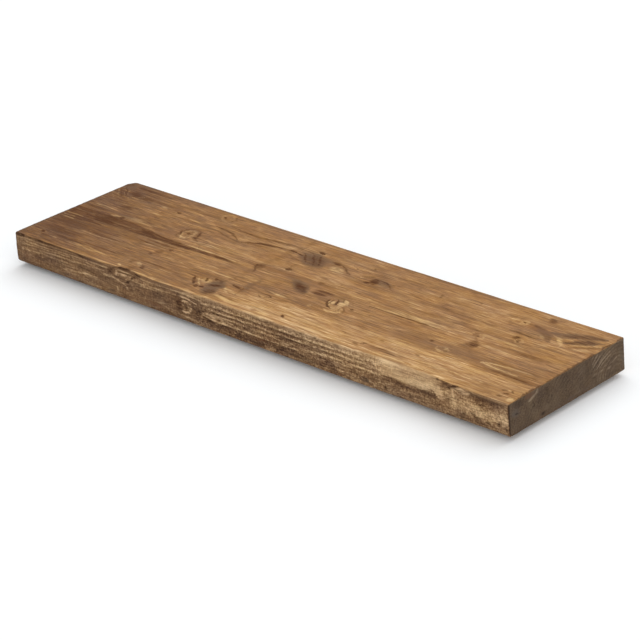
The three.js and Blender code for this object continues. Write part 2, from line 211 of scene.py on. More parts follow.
# A stroke: strength, width, and the points of its line
TOP_STROKES = {
    "light": (
        (0.15, 1.8, ((-438, -19), (-427, -30), (-416, -43))),
        (0.14, 1.8, ((-430, -19), (-420, -29), (-411, -41))),
        (0.15, 1.8, ((-444, -27), (-432, -38), (-421, -51))),
        (0.13, 1.8, ((-445, -37), (-434, -48), (-424, -58))),
        (0.25, 2, ((-247, -86), (-241, -96), (-235, -103), (-227, -98))),
        (0.42, 1.6, ((-46, -38), (-34, -53), (-26, -64))),
        (0.36, 1.6, ((-35, -37), (-23, -51), (-14, -62))),
        (0.5, 2.4, ((-118, -178), (-113, -188), (-103, -193))),
        (0.3, 1.8, ((-84, -192), (-76, -199), (-70, -205))),
        (0.4, 2, ((-70, -180), (-60, -187), (-48, -192))), (0.5, 1.4, ((75, -127), (79, -138), (86, -146))),
        (0.5, 3, ((86, -153), (97, -156), (107, -153), (114, -147))),
        (0.36, 3.4, ((374, -45), (386, -49), (396, -57), (402, -66))),
        (0.42, 2.6, ((404, -61), (417, -51), (430, -44), (448, -38))),
        (0.4, 2.2, ((384, -42), (396, -44), (404, -40), (412, -35))),
        (0.35, 2, ((388, -37), (400, -29), (413, -22))),
        (0.6, 2.2, ((349, -152), (362, -149), (390, -145), (430, -143))),
        (0.6, 2.2, ((349, -153), (370, -155), (410, -157))),
        (0.26, 2, ((-410, -52), (-397, -41), (-384, -32))), (0.3, 1.2, ((-194, -107), (-183, -122))),
        (0.12, 5, ((-168, -47), (-158, -51), (-148, -50))), (0.3, 2, ((70, -46), (64, -52), (56, -60))),
        (0.4, 2, ((91, -118), (101, -124), (107, -133))), (0.4, 2, ((356, -53), (364, -53), (372, -60))),
        (0.4, 1.8, ((128, -111), (202, -111.5), (262, -111.5))),
        (0.5, 1.5, ((-2, -193), (60, -193), (120, -192.5), (230, -193), (330, -193), (372, -194))),
        (0.5, 1.5, ((382, -193), (410, -191), (441, -191))),
        (0.6, 1.8, ((58, -207.5), (110, -207.5), (165, -208))),
        (0.75, 1.8, ((218, -208.5), (250, -208), (277, -208.5))), (0.65, 1.8, ((284, -208), (310, -207.5))),
        (0.4, 1.5, ((-444, -128), (-410, -128))), (0.24, 1.5, ((-400, -127), (-350, -127), (-302, -128))),
        (0.28, 1.4, ((-286, -127), (-250, -127), (-205, -126.5))),
        (0.28, 1.4, ((-278, -135), (-250, -135), (-220, -135))),
        (0.26, 1.4, ((-276, -142), (-250, -141), (-222, -142))), (0.4, 1.5, ((-444, -141), (-412, -141))),
        (0.35, 1.4, ((-444, -134.5), (-415, -134.5))),
        (0.4, 1.5, ((-446, -113), (-420, -113.5), (-390, -115))),
        (0.35, 1.5, ((-360, -117), (-320, -118), (-290, -118.5))),
        (0.2, 1.4, ((-378, -162), (-345, -163), (-325, -164), (-300, -163))),
        (0.24, 1.4, ((-322, -196), (-296, -199), (-268, -197))), (0.2, 1.5, ((-400, -199), (-380, -199))),
        (0.24, 1.4, ((-282, -50), (-250, -50), (-226, -50))), (0.2, 1.4, ((-250, -43), (-226, -42))),
        (0.35, 1.6, ((-196, -97), (-160, -96), (-100, -96), (-30, -95))),
        (0.4, 1.6, ((-214, -113), (-160, -113), (-112, -114))), (0.35, 1.4, ((-180, -158), (-165, -158))),
        (0.35, 1.4, ((-195, -190), (-150, -190))), (0.35, 1.4, ((-122, -154), (-100, -154), (-70, -155))),
        (0.4, 1.4, ((-30, -155), (-2, -156))),
        (0.3, 1.4, ((52, -97), (90, -98), (120, -100), (160, -102), (222, -104))),
        (0.35, 1.5, ((262, -135), (300, -134))), (0.35, 1.5, ((320, -117), (350, -117), (400, -118))),
    ),
    "dark": (
        (0.4, 1.8, ((-434, -20), (-423, -31), (-413, -44))),
        (0.35, 1.8, ((-440, -26), (-428, -37), (-418, -50))),
        (0.4, 3, ((-224, -76), (-219, -84), (-220, -90), (-214, -96), (-204, -98))),
        (0.55, 2.4, ((-55, -42), (-44, -54), (-36, -64))), (0.5, 2, ((-43, -37), (-30, -52), (-21, -64))),
        (0.5, 2.4, ((-31, -38), (-19, -52), (-11, -62))),
        (0.45, 2.8, ((14, -42), (24, -47), (32, -55), (42, -57))),
        (0.6, 3.4, ((-126, -177), (-121, -188), (-112, -197))),
        (0.45, 2.4, ((-66, -166), (-57, -171), (-48, -173))),
        (0.7, 2.4, ((73, -127), (76, -136), (82, -144), (91, -148))),
        (0.5, 1.6, ((77, -125), (80, -134), (86, -141))), (0.5, 2, ((106, -137), (111, -142), (115, -149))),
        (0.3, 8, ((386, -40), (400, -34), (414, -27), (432, -21))),
        (0.34, 7, ((402, -53), (413, -45), (424, -38), (436, -33))),
        (0.35, 3, ((408, -64), (420, -56), (434, -48), (448, -41))),
        (0.45, 2, ((320, -64), (332, -64), (345, -65), (380, -66))),
        (0.4, 2.2, ((358, -160), (400, -162), (446, -164))),
        (0.4, 2.4, ((-219, -8), (-215, -18), (-219, -26))),
        (0.5, 2.2, ((-251, -80), (-248, -89), (-242, -97))),
        (0.2, 3, ((-204, -102), (-194, -105), (-187, -112))),
        (0.45, 3.2, ((-226, -46), (-204, -48), (-186, -51), (-175, -56), (-166, -63))),
        (0.35, 2.2, ((-323, -55), (-263, -55), (-209, -56), (-184, -64), (-154, -68))),
        (0.6, 3.8, ((-156, -65), (-143, -60), (-129, -53), (-94, -48), (-69, -46), (-52, -50))),
        (0.45, 3.2, ((-206, -34), (-180, -38), (-144, -40), (-120, -36), (-84, -33), (-46, -36))),
        (0.3, 2, ((29, -35), (39, -40), (53, -39))),
        (0.5, 2, ((88, -49), (102, -50), (110, -55), (120, -62))), (0.3, 1.6, ((108, -48), (116, -52))),
        (0.16, 10, ((-72, -7), (-70, -33), (-75, -72), (-77, -110), (-76, -149), (-82, -174))),
        (0.4, 2.2, ((-87, -101), (-79, -112), (-71, -126))),
        (0.35, 2, ((-48, -163), (-44, -178), (-39, -192))),
        (0.75, 2.2, ((83, -124), (87, -130), (91, -137))), (0.6, 1.8, ((89, -120), (93, -127))),
        (0.45, 1.8, ((102, -140), (106, -147), (102, -151))),
        (0.5, 2, ((-16, -165), (-5, -165), (5, -168), (-5, -174))),
        (0.35, 1.6, ((-19, -170), (-9, -174), (-3, -176))),
        (0.4, 2, ((-67, -198), (-47, -201), (-17, -204))),
        (0.65, 2, ((128, -114), (152, -113.5), (202, -114), (262, -114))),
        (0.35, 1.6, ((195, -196), (250, -197), (330, -197))),
        (0.5, 1.6, ((-284, -131), (-250, -131.5), (-205, -131))),
        (0.45, 1.6, ((-280, -138), (-250, -139), (-220, -138))),
        (0.5, 1.5, ((-446, -131), (-415, -131), (-380, -132))), (0.45, 1.4, ((-446, -137.5), (-400, -138))),
        (0.4, 1.6, ((-446, -146), (-400, -146))), (0.5, 1.6, ((-410, -120), (-370, -120.5), (-320, -121))),
        (0.35, 1.5, ((-430, -137), (-400, -136), (-360, -134))),
        (0.4, 1.6, ((-372, -158), (-350, -159), (-320, -160), (-280, -158))),
        (0.3, 1.4, ((-300, -47), (-262, -46), (-226, -47))),
        (0.3, 1.6, ((70, -95), (110, -97), (150, -101), (222, -102))),
        (0.25, 1.5, ((40, -70), (90, -71), (140, -70))), (0.25, 1.5, ((120, -27), (170, -27), (222, -28))),
        (0.3, 1.5, ((226, -88), (280, -89), (330, -89), (440, -91))), (0.25, 1.5, ((300, -51), (336, -54))),
        (0.25, 1.5, ((296, -44), (330, -48))), (0.3, 1.5, ((325, -121), (350, -121))),
        (0.35, 1.8, ((364, -151), (398, -150), (447, -151))), (0.45, 2, ((346, -82), (353, -87))),
        (0.3, 1.6, ((183, -35), (189, -44))), (0.35, 1.8, ((418, -112), (434, -114), (448, -115))),
    ),
    "grey": (
        # This row, along the back edge, is wear with painted shade on its eased edge
        (0.4, 2.4, ((-440, -4), (-200, -4), (40, -4), (300, -4), (446, -4))),
        (0.3, 7, ((-45, -133), (-43, -152), (-41, -178))),
        (0.65, 11, ((370, -41), (388, -40), (400, -34), (416, -26), (436, -20))),
        (0.7, 9, ((401, -54), (412, -46), (425, -38), (442, -31))),
        (0.36, 11, ((340, -36), (358, -44), (372, -54), (380, -63))),
    ),
    "rust": (
        (0.35, 5, ((-42, -136), (-40, -170))), (0.3, 8, ((340, -36), (358, -44), (372, -54), (380, -63))),
        (0.25, 4, ((-67, -8), (-67, -27))), (0.35, 2.4, ((298, -92), (300, -104), (308, -112))),
    ),
}

# A band along the top: strength, then rows of x with its upper and lower edge
TOP_BANDS = {
    "dark": (
        (0.44, ((-470, -106, -126), (-404, -103, -126), (-380, -104, -127), (-350, -108, -126))),
        (0.44, ((-390, -103, -127), (-334, -104, -127), (-294, -107, -127), (-262, -112, -126))),
        (0.56, ((-300, -110, -125), (-260, -113, -125), (-226, -114, -125), (-155, -115, -121.5),
                (-100, -115.5, -120))),
        (0.2, ((-444, -125, -172), (-374, -126, -160), (-294, -126, -146), (-210, -124, -132))),
    ),
}

# Tone of the top along the board, as x and tone
TOP_TONE = (
    (-450, 0.1), (-400, 0.15), (-340, 0.24), (-280, 0.33), (-200, 0.36), (-60, 0.43), (100, 0.39),
    (300, 0.54), (450, 0.51),
)
# Broad areas of the top, darker or lighter: shift of tone, x, y, half length, half width
TOP_AREAS = (
    (0.25, 60, -192, 130, 24), (0.07, 320, -192, 132, 24), (-0.05, -90, -170, 90, 40),
    (-0.08, -360, -170, 90, 40), (-0.08, 410, -165, 70, 44), (-0.1, 150, -201, 110, 5),
    (0.12, 150, -209, 130, 3), (-0.08, 330, -152, 140, 13), (-0.06, 60, -156, 60, 10),
    (-0.16, 345, -50, 50, 16), (-0.05, 100, -34, 70, 9), (0.06, 100, -80, 120, 14),
    (-0.08, -395, -182, 40, 14), (-0.06, -365, -195, 30, 4), (0.08, -295, -200, 50, 6),
    (0.06, -320, -62, 60, 8), (-0.08, -405, -35, 35, 20), (0.05, -60, -90, 90, 8), (0.04, -150, -52, 18, 8),
    (-0.06, -10, -105, 90, 7), (-0.06, 370, -108, 60, 5),
)

# Where the lines of the top swerve: shift, x, y, half length, half width
TOP_SWERVES = (
    (10, -162, -62, 30, 20), (-7, -114, -50, 50, 24), (-7, -234, -72, 26, 12), (8, -234, -99, 26, 12),
    (6, -333, -48, 90, 18), (-6, -14, -33, 40, 14), (5, 15, -64, 26, 12), (-8, 95, -118, 34, 14),
    (8, 94, -158, 34, 12), (-6, -104, -167, 28, 12), (6, -104, -204, 28, 10), (16, 395, -42, 40, 26),
    (-12, 439, -42, 40, 26), (-5, 303, -95, 24, 9), (-4, 345, -71, 22, 10),
)

# Ridges that weather has left on the front, with a painted highlight on each crest and painted shade in the
# furrows: strength, width, and x and z along the crest
FRONT_RIDGES = (
    (0.8, 1.5, ((-440, 17.5), (-400, 18), (-350, 19), (-322, 20))),
    (0.85, 1.3, ((-426, 13), (-380, 13.5), (-345, 15.5), (-300, 16), (-254, 16.5))),
    (0.8, 1.2, ((-430, 9), (-400, 10), (-370, 11), (-330, 12.5), (-290, 13))),
    (0.85, 1.3, ((-416, 5), (-385, 6.5), (-350, 7.5), (-300, 8.5), (-264, 10.5))),
    (0.8, 1.2, ((-428, 0.5), (-395, 2), (-350, 1.5), (-322, 1))),
    (0.6, 1.2, ((-352, -3), (-318, -2), (-290, -1))),
    (0.65, 1.3, ((-352, -9), (-325, -7.5), (-308, -5.5), (-292, -4.5), (-274, -5.5))),
    (0.9, 1.4, ((-266, 4.5), (-246, 5), (-233, 3), (-223, -1), (-216, -5))),
    (0.85, 1.5, ((-202, 17), (-180, 16.5), (-150, 17.4), (-110, 17.8), (-88, 16.5), (-70, 15))),
    (0.8, 1.4, ((-206, 9.6), (-185, 9.6), (-165, 10.4), (-140, 11), (-122, 11.4))),
    (0.4, 1.3, ((-192, 6.6), (-170, 7), (-150, 8), (-138, 8.4))),
    (0.85, 2, ((-74, 12.5), (-40, 13.5), (60, 13.8), (150, 14.2), (238, 13.8))),
    (0.9, 1.8, ((-62, 7), (-30, 7.4), (60, 7.2), (120, 7.5), (165, 8), (247, 8.6))),
    (0.8, 1.7, ((-74, -3.4), (-66, -1), (-52, 0.6), (40, 0.8), (90, -0.6), (130, -1), (165, 0.4),
                (247, 0.8))),
    (0.95, 1.5, ((-74, -3.6), (-62, -5.8), (-45, -7.4), (-10, -6.8), (50, -6.6), (104, -6.2))),
    (0.6, 1.5, ((168, -14), (192, -13.5), (206, -14.5))),
    (0.45, 1.5, ((278, -10), (300, -9.5), (325, -10))),
)
# How rough the front is along the board, as x and the share of the deepest furrow
FRONT_ROUGHNESS = (
    (-450, 0.5), (-250, 0.55), (-110, 0.65), (-66, 1.0), (240, 0.9), (252, 0.6), (325, 0.65), (345, 0.8),
    (450, 0.9),
)
FURROW_DEPTH = 1.2
DEEPEST_RELIEF = 2.4

# Tone of the front along the board, and its broad areas as on the top
FRONT_TONE = (
    (-450, 0.39), (-230, 0.4), (-200, 0.43), (-80, 0.38), (-60, 0.37), (130, 0.43), (190, 0.54), (250, 0.5),
    (450, 0.55),
)
FRONT_AREAS = (
    (0.16, 40, 18.5, 210, 4.5), (-0.14, -165, 19.5, 60, 3), (-0.1, -340, 20, 100, 3),
    (0.09, -280, -13, 170, 6), (-0.06, -385, -4.5, 36, 4), (0.05, -310, -5, 40, 3), (-0.08, -78, -4, 9, 8),
    (-0.08, 45, 5, 75, 2), (-0.16, 20, -12.5, 92, 5), (-0.08, 150, -14, 70, 5), (0.06, 60, -2, 110, 3),
    (0.08, 285, 8, 40, 4), (0.12, 245, 19, 24, 5), (-0.14, 290, -4, 45, 5), (-0.07, 290, 15, 40, 5),
    (-0.16, 345, 16, 14, 7), (0.1, 345, -8, 15, 4), (0.2, 352, 8, 14, 9), (0.36, 384, -1, 24, 11),
    # On this line, the row at 418, 16.5 is the darker wood of the groove under the top edge, with painted
    # shade in it
    (0.36, 426, -3, 28, 9), (0.2, 362, -5, 6, 12), (-0.15, 418, 16.5, 30, 4), (-0.1, 348, 20, 18, 3.6),
    (0.14, 444, 3, 6, 12), (-0.1, 110, 0.5, 50, 2.5), (0.12, 210, 22, 35, 3), (0.1, 210, -3, 35, 2.5),
    (-0.08, 425, 5, 26, 3), (-0.06, -385, 10, 45, 7),
)
# Foot of the smooth strip that the bark edge has left, as x and z
WANE_EDGE = (
    (225, 2), (262, 2.4), (280, 1.8), (298, 0.8), (312, 0.4), (322, 2.6), (330, 5.5), (334, 2), (339, -3.5),
    (346, -1), (360, 5),
)

# Where along the board the worn front edge, the light lip and that strip run: the x where each starts,
# is whole, starts to fade and ends
ARRIS_SPAN = (-440.0, -420.0, 310.0, 330.0)
LIP_SPAN = (-140.0, -60.0, 240.0, 262.0)
WANE_SPAN = (228.0, 252.0, 338.0, 350.0)

# Marks on the front, as x and z, in the same forms
FRONT_SPOTS = {
    "dark": (
        (0.8, -440, 20.8, 11, 3.2, -3), (0.25, -448, 0, 3, 26), (0.25, -405, 20, 26, 2),
        # On this line, the rows at x -226 and -199 are painted shadow under the overhanging lip of the chip
        # in the top edge
        (0.5, -300, 19.5, 15, 2, -2), (0.65, -226, 21, 12, 2.4), (0.5, -199, 19, 9, 2.6),
        (0.4, -251, 14, 4, 6, 40), (0.4, -232, 7.5, 16, 1.6), (0.35, -302, 1.5, 20, 2, -3),
        (0.3, -331, 13, 2, 6, 40), (0.45, -119, -1, 7, 13), (0.2, -83, -3, 9, 7),
        (0.45, -105, -2.5, 3.4, 3), (0.4, -62, -10.5, 9, 2.6), (0.4, 85, 4.5, 20, 2.2),
        (0.3, 60, 11.8, 78, 1.2), (0.3, 52, 19, 12, 2), (0.35, 98, 19.5, 4, 1.8), (0.35, 111, 19.5, 4, 1.8),
        (0.55, 132, 20, 3.4, 2.2), (0.35, 147, 19, 3, 1.8), (0.25, 168, 19.5, 8, 1.6),
        (0.35, 162, 5, 2.4, 2.2), (0.45, 198, -8, 7, 1.8, -20), (0.45, 215, -13, 5, 3),
        (0.3, 232, -9, 10, 3), (0.2, 252, -3, 6, 4), (0.3, 318, -1, 12, 3, 10), (0.5, 250, -15, 3, 2.6),
        (0.4, 262, -14, 3, 1.6), (0.4, 273, -13.5, 3, 1.6), (0.5, 289, -15, 1.6, 3.4),
        (0.3, 305, -13, 6, 1.6), (0.4, 333, 21, 9, 2), (0.4, 350, 21.5, 8, 2), (0.35, 352, 1, 5, 2, 25),
        # The first row on this line darkens the same groove: darker wood with painted shade
        (0.3, 418, 17, 30, 2.6), (0.35, 393, -8, 5, 2), (0.5, 399, -12, 7, 2.4), (0.5, 417, -12, 5, 2.2),
        (0.4, 435, -10, 4, 3), (0.45, 405, -16.5, 12, 2), (0.35, 378, -12, 6, 2), (0.4, 445, -14, 3.4, 4),
        (0.35, 372, -17, 12, 2),
    ),
    "light": (
        (0.5, -240, 13, 2.6, 4.4, 10), (0.4, -237, -12, 2, 6, 8), (0.5, -218, -4.5, 3.4, 2.6, 30),
        (0.3, -150, -7.5, 12, 1.8, 5), (0.45, -304, -5, 8, 2, 8), (0.4, -330, 6.5, 5, 1.4),
        (0.3, -438, 0, 3, 4, 30), (0.4, -104, -15.5, 6, 3), (0.3, -58, -3, 12, 3), (0.35, 76, -4, 9, 2, 8),
        # The last row on this line is a painted highlight on an upward-facing flap of torn wood
        (0.45, 340, 8, 2.4, 7, 8), (0.35, 333, 6, 2, 5, 30), (0.75, 376, 16.5, 10, 3, -8),
    ),
    "rust": (
        (0.25, -180, -13, 38, 3), (0.4, -331, -18, 5, 2.4), (0.3, -430, -9, 5, 3), (0.3, -118, 1, 7, 11),
        (0.25, 26, -10, 17, 4), (0.35, 170, -17, 6, 2.4, -20),
    ),
    "grey": (
        (0.4, -350, -17, 13, 2.4), (0.4, -250, -16, 8, 3), (0.3, 110, -16, 44, 3), (0.6, 215, -14, 8, 4),
    ),
}
FRONT_HALOS = {"dark": ((0.3, -104, -2, 13, 12, 2.2),)}
FRONT_STROKES = {
    "dark": (
        (0.25, 1.6, ((60, 0.6), (100, 0), (165, 1))),
        (0.45, 1.8, ((-436, 21), (-400, 20.4), (-350, 21), (-300, 20.4))),
        # This row is painted shadow along the same chip
        (0.65, 2.4, ((-204, 19), (-208, 12), (-213, 6), (-222, 3))),
        (0.45, 1.3, ((-236, 15), (-222, 14.5), (-208, 14))),
        (0.45, 1.6, ((-82, -1), (-68, 2), (-52, 4), (-26, 4.6))),
        (0.45, 1.8, ((-80, -5), (-64, -8.4), (-46, -9.6), (-20, -9))),
        (0.6, 1.6, ((352, 11), (357, 17), (364, 20.5), (374, 22))),
        (0.35, 1.4, ((388, 20.5), (398, 19), (412, 19))), (0.3, 1.4, ((384, 11), (412, 12), (436, 11))),
        (0.35, 1.6, ((-256, 8), (-250, 15), (-243, 20))),
    ),
    "light": (
        (0.6, 1.5, ((-242, 17.5), (-228, 16.5), (-209, 16))),
        (0.5, 1.4, ((-236, 12.5), (-224, 12), (-211, 10.5))),
        (0.6, 1.6, ((-112, 5), (-107, 7), (-100, 7), (-95, 5))),
        (0.65, 1.8, ((-112, -8), (-106, -10), (-99, -7.5), (-94, -3), (-96, 0))),
        (0.4, 1.4, ((-111, 2), (-112, -3))), (0.5, 1.3, ((-74, -3), (-66, -1), (-52, 1), (-20, 1.5))),
        (0.5, 1.3, ((-74, -3.4), (-62, -5.6), (-45, -7), (-16, -6.6))),
        (0.35, 1.2, ((-64, -2.4), (-42, -2.2), (-16, -2.8))),
        (0.55, 1.6, ((-118, 12), (-104, 12), (-94, 10), (-84, 7.5))),
        (0.35, 1.2, ((247, 5), (262, 5.4), (280, 4.6), (298, 3.4), (312, 3), (322, 5), (330, 8))),
        (0.5, 1.4, ((333, 2), (339, -3), (345, 0), (352, 3))),
        (0.5, 1.6, ((357, 6), (359, 12), (363, 17), (366, 12), (362, 8))),
        # This row outlines the same flap with a painted highlight
        (0.7, 1.6, ((367, 18), (377, 20.5), (388, 17), (380, 13), (370, 11))),
    ),
}

# Marks on the right end, as y and z
END_SPOTS = {
    "dark": (
        (0.35, -200, 15, 14, 5, -12), (0.5, -204, 4, 3, 1.8), (0.3, -173, 2, 1.6, 9),
        (0.7, -158, -15, 4.4, 2.8, -10), (0.3, -140, -2, 2, 6, 20), (0.25, -150, 14, 7, 2.4, -25),
        (0.25, -74, 2, 5, 20), (0.25, -38, 1, 8, 3, 12), (0.3, -24, -16, 12, 3),
    ),
    "rust": ((0.8, -180, 18, 9, 4),),
    "grey": ((0.5, -206, 6, 9, 7), (0.4, -104, -16, 8, 2.4), (0.4, -76, -17, 6, 2.4), (0.5, -6, -4, 3, 14)),
    "light": (
        (0.4, -176, 12.5, 7, 1.8, 10), (0.4, -167, 18, 3, 4, -20), (0.2, -146, -10, 6, 5, 30),
        (0.2, -90, -15, 7, 2.4),
    ),
}
END_STROKES = {
    "light": (
        (0.7, 1.5, ((-62, -18), (-60, -7), (-55, 1), (-46, 8), (-32, 13), (-22, 15))),
        (0.6, 1.4, ((-65, 3), (-58, 9), (-47, 16), (-42, 19))),
        (0.55, 1.4, ((-65, 10), (-58, 15), (-51, 20))), (0.5, 1.4, ((-64, 16), (-59, 20))),
        (0.55, 1.4, ((-54, -4), (-49, 1), (-40, 6), (-30, 9), (-20, 10))),
        (0.6, 1.4, ((-36, -16), (-33, -8), (-27, -2), (-16, 2), (-10, 2))),
        (0.6, 1.4, ((-48, -14), (-45, -6), (-38, 0), (-28, 4))),
        (0.6, 1.8, ((-184, 10.5), (-176, 12.5), (-170, 16), (-168, 21))),
        (0.25, 1.4, ((-147, -3), (-142, 2), (-141, 8))), (0.2, 1.3, ((-112, -3), (-92, 4), (-74, 13))),
        (0.2, 1.3, ((-106, -9), (-86, -3), (-70, 5))), (0.2, 1.3, ((-104, 5), (-88, 11), (-78, 17))),
    ),
    "dark": (
        (0.45, 1.4, ((-59.6, -16), (-58, -6), (-53, 0), (-45, 6), (-32, 10))),
        (0.45, 1.4, ((-65, 0), (-57, 6), (-46, 13), (-38, 17))),
        (0.35, 1.6, ((-176, 9), (-172, 5), (-172, -6))),
    ),
}


def areas(rows, u, v, power=2):
    """Adds up what the areas of a face bring at its points, each fading from its middle."""
    total = np.zeros(u.shape)
    for amount, row_u, row_v, half_u, half_v in rows:
        near = ((u - row_u) / half_u) ** 2 + ((v - row_v) / half_v) ** 2
        total += amount * np.exp(-(near**power))
    return total


def smoothstep(low, high, value):
    """0 at low and 1 at high, easing between; low may be the greater of the two."""
    t = np.clip((value - low) / (high - low), 0.0, 1.0)
    return t * t * (3.0 - 2.0 * t)


def window(value, start, rise, fall, end):
    """1 between rise and fall, easing to 0 at start and end."""
    return smoothstep(start, rise, value) * smoothstep(end, fall, value)


def read_along(table, x):
    """Reads a table of x and value at points of the board."""
    return np.interp(x, *np.transpose(table))


def share_along(rows, place, column):
    """Reads a column of a share table at places, easing from one row to the next."""
    places, values = np.array(rows)[:, (0, column)].T
    after = np.clip(np.searchsorted(places, place), 1, len(rows) - 1)
    step = smoothstep(places[after - 1], places[after], place)
    return values[after - 1] + (values[after] - values[after - 1]) * step


class Noise:
    """Smooth noise from -1 to 1 on a seeded lattice, read at points given in lattice cells."""

    SIDE = 64

    def __init__(self, seed):
        self.lattice = np.random.default_rng(seed).uniform(-1.0, 1.0, (self.SIDE,) * 3)

    def __call__(self, x, y, z=0.0):
        points = np.stack(np.broadcast_arrays(x, y, z)).astype(float)
        cell = np.floor(points).astype(int)
        part = points - cell
        part = part * part * (3.0 - 2.0 * part)
        total = np.zeros(points.shape[1:])
        for corner in np.ndindex(2, 2, 2):
            weight = np.ones(points.shape[1:])
            for axis in range(3):
                weight = weight * (part[axis] if corner[axis] else 1.0 - part[axis])
            at = [(cell[axis] + corner[axis]) % self.SIDE for axis in range(3)]
            total += weight * self.lattice[at[0], at[1], at[2]]
        return total


broad_noise = Noise(11)
ring_noise = Noise(23)
warp_noise = Noise(37)
torn_noise = Noise(51)


def hollow_depth(x, z):
    """How deep the front face is chipped, as on the solid."""
    depth = np.zeros(np.broadcast(x, z).shape)
    for place, half_length, height, half_height, deep in HOLLOW_SHARES:
        along = (x / LENGTH - place) / half_length
        up = (z / THICKNESS - height) / half_height
        edge = np.clip(1.0 - along**2 - up**2, 0.0, None)
        depth += deep * THICKNESS * edge * np.minimum(1.0, 2.0 * edge)
    return depth


def quarter(steps):
    """Sine and cosine at even steps of a quarter turn."""
    return [(math.sin(angle), math.cos(angle)) for angle in np.linspace(0.0, math.pi / 2, steps + 1)]


def board_stations():
    """Places along the board for its sections, close together near its ends."""
    ease = END_EASE * (1.0 - np.cos(np.linspace(0.0, math.pi / 2, END_STEPS + 1)))
    near = np.concatenate([ease, np.arange(END_EASE + 1.2, CORNER_RADIUS, CORNER_STEP)])
    count = round((LENGTH - 2 * CORNER_RADIUS) / STATION_STEP)
    reach = HALF_LENGTH - CORNER_RADIUS
    middle = np.linspace(-reach, reach, count + 1)
    return np.concatenate([near - HALF_LENGTH, middle, (HALF_LENGTH - near)[::-1]])


def board_rings(x):
    """The closed sections at the stations x, as an array of stations by points by 3."""
    place = x / LENGTH
    short = np.clip(END_EASE - (HALF_LENGTH - np.abs(x)), 0.0, END_EASE)
    inset = END_EASE - np.sqrt(END_EASE**2 - short**2)
    from_left = np.clip(CORNER_RADIUS - (x + HALF_LENGTH), 0.0, CORNER_RADIUS)
    setback = CORNER_RADIUS - np.sqrt(CORNER_RADIUS**2 - from_left**2)
    top = HALF_THICKNESS - inset
    front = FRONT + inset
    back = -inset - setback
    run = THICKNESS * share_along(TOP_EDGE_SHARES, place, 1)
    drop = THICKNESS * share_along(TOP_EDGE_SHARES, place, 2)
    foot = THICKNESS * share_along(FOOT_EDGE_SHARES, place, 1)
    points = []

    def arc(steps, at):
        points.extend(at(sine, cosine) for sine, cosine in quarter(steps))

    def line(steps, start, end):
        for share in np.linspace(0.0, 1.0, steps + 1)[1:-1]:
            points.append(tuple(a + (b - a) * share for a, b in zip(start, end)))

    arc(EDGE_STEPS, lambda s, c: (front + run * (1 - s), top - drop * (1 - c)))
    line(FACE_STEPS, (front, top - drop), (front, foot - top))
    arc(FOOT_STEPS, lambda s, c: (front + foot * (1 - c), foot * (1 - s) - top))
    front_count = len(points)
    line(BOTTOM_STEPS, (front + foot, -top), (back - BACK_EASE, -top))
    arc(EASE_STEPS, lambda s, c: (back - BACK_EASE * (1 - s), BACK_EASE * (1 - c) - top))
    line(BACK_STEPS, (back, BACK_EASE - top), (back, top - BACK_EASE))
    arc(EASE_STEPS, lambda s, c: (back - BACK_EASE * (1 - c), top - BACK_EASE * (1 - s)))
    line(TOP_STEPS, (back - BACK_EASE, top), (front + run, top))
    rings = np.array([(x, y + 0 * x, z + 0 * x) for y, z in points]).transpose(2, 0, 1)
    worn = rings[:, :front_count]
    worn[:, :, 1] += hollow_depth(worn[:, :, 0], worn[:, :, 2])
    return rings


def ring_quads(first, second, size):
    """Faces between two rings of points, which start at these places in their list."""
    around = np.arange(size)
    beside = np.roll(around, -1)
    return np.stack([first + around, first + beside, second + beside, second + around], 1).tolist()


def spine_faces(ring, near, spine):
    """Faces from a ring of points to a row of points, given which of the row each ring point is near."""
    faces = []
    for i, at in enumerate(near):
        j = (i + 1) % len(near)
        faces.append([ring + i, ring + j, spine + near[j]])
        step = 1 if near[j] > at else -1
        for k in range(at, near[j], step):
            faces.append([ring + i, spine + k + step, spine + k])
    return faces


def closed_board():
    """Points and faces of the board before its relief, its ends closed by rings that shrink to a spine."""
    rings = board_rings(board_stations())
    stations, size, _ = rings.shape
    points = [rings.reshape(-1, 3)]
    faces = []
    for i in range(stations - 1):
        faces += ring_quads(i * size, (i + 1) * size, size)
    total = stations * size
    for station, outward in ((0, False), (stations - 1, True)):
        rim = rings[station]
        low, high = FRONT + HALF_THICKNESS, rim[:, 1].max() - HALF_THICKNESS
        spine = rim.copy()
        spine[:, 1] = np.clip(rim[:, 1], low, high)
        spine[:, 2] = 0.0
        last = station * size
        for share in np.linspace(0.0, CAP_SHARE, CAP_RINGS + 1)[1:]:
            points.append(rim + (spine - rim) * share)
            pair = (last, total) if outward else (total, last)
            faces += ring_quads(*pair, size)
            last = total
            total += size
        middle = np.zeros((SPINE_POINTS, 3))
        middle[:, 0] = rim[0, 0]
        middle[:, 1] = np.linspace(low, high, SPINE_POINTS)
        points.append(middle)
        near = np.rint((spine[:, 1] - low) / (high - low) * (SPINE_POINTS - 1)).astype(int).tolist()
        faces += spine_faces(last, near, total)
        total += SPINE_POINTS
    return np.concatenate(points), faces


def mesh_from(name, points, faces):
    """A mesh in metres from points in millimetres, with its faces turned outwards."""
    mesh = bpy.data.meshes.new(name)
    mesh.from_pydata((np.asarray(points) * MM).tolist(), [], faces)
    mesh.validate()
    form = bmesh.new()
    form.from_mesh(mesh)
    bmesh.ops.recalc_face_normals(form, faces=form.faces)
    form.to_mesh(mesh)
    form.free()
    return mesh


def object_from(name, mesh):
    piece = bpy.data.objects.new(name, mesh)
    bpy.context.scene.collection.objects.link(piece)
    return piece


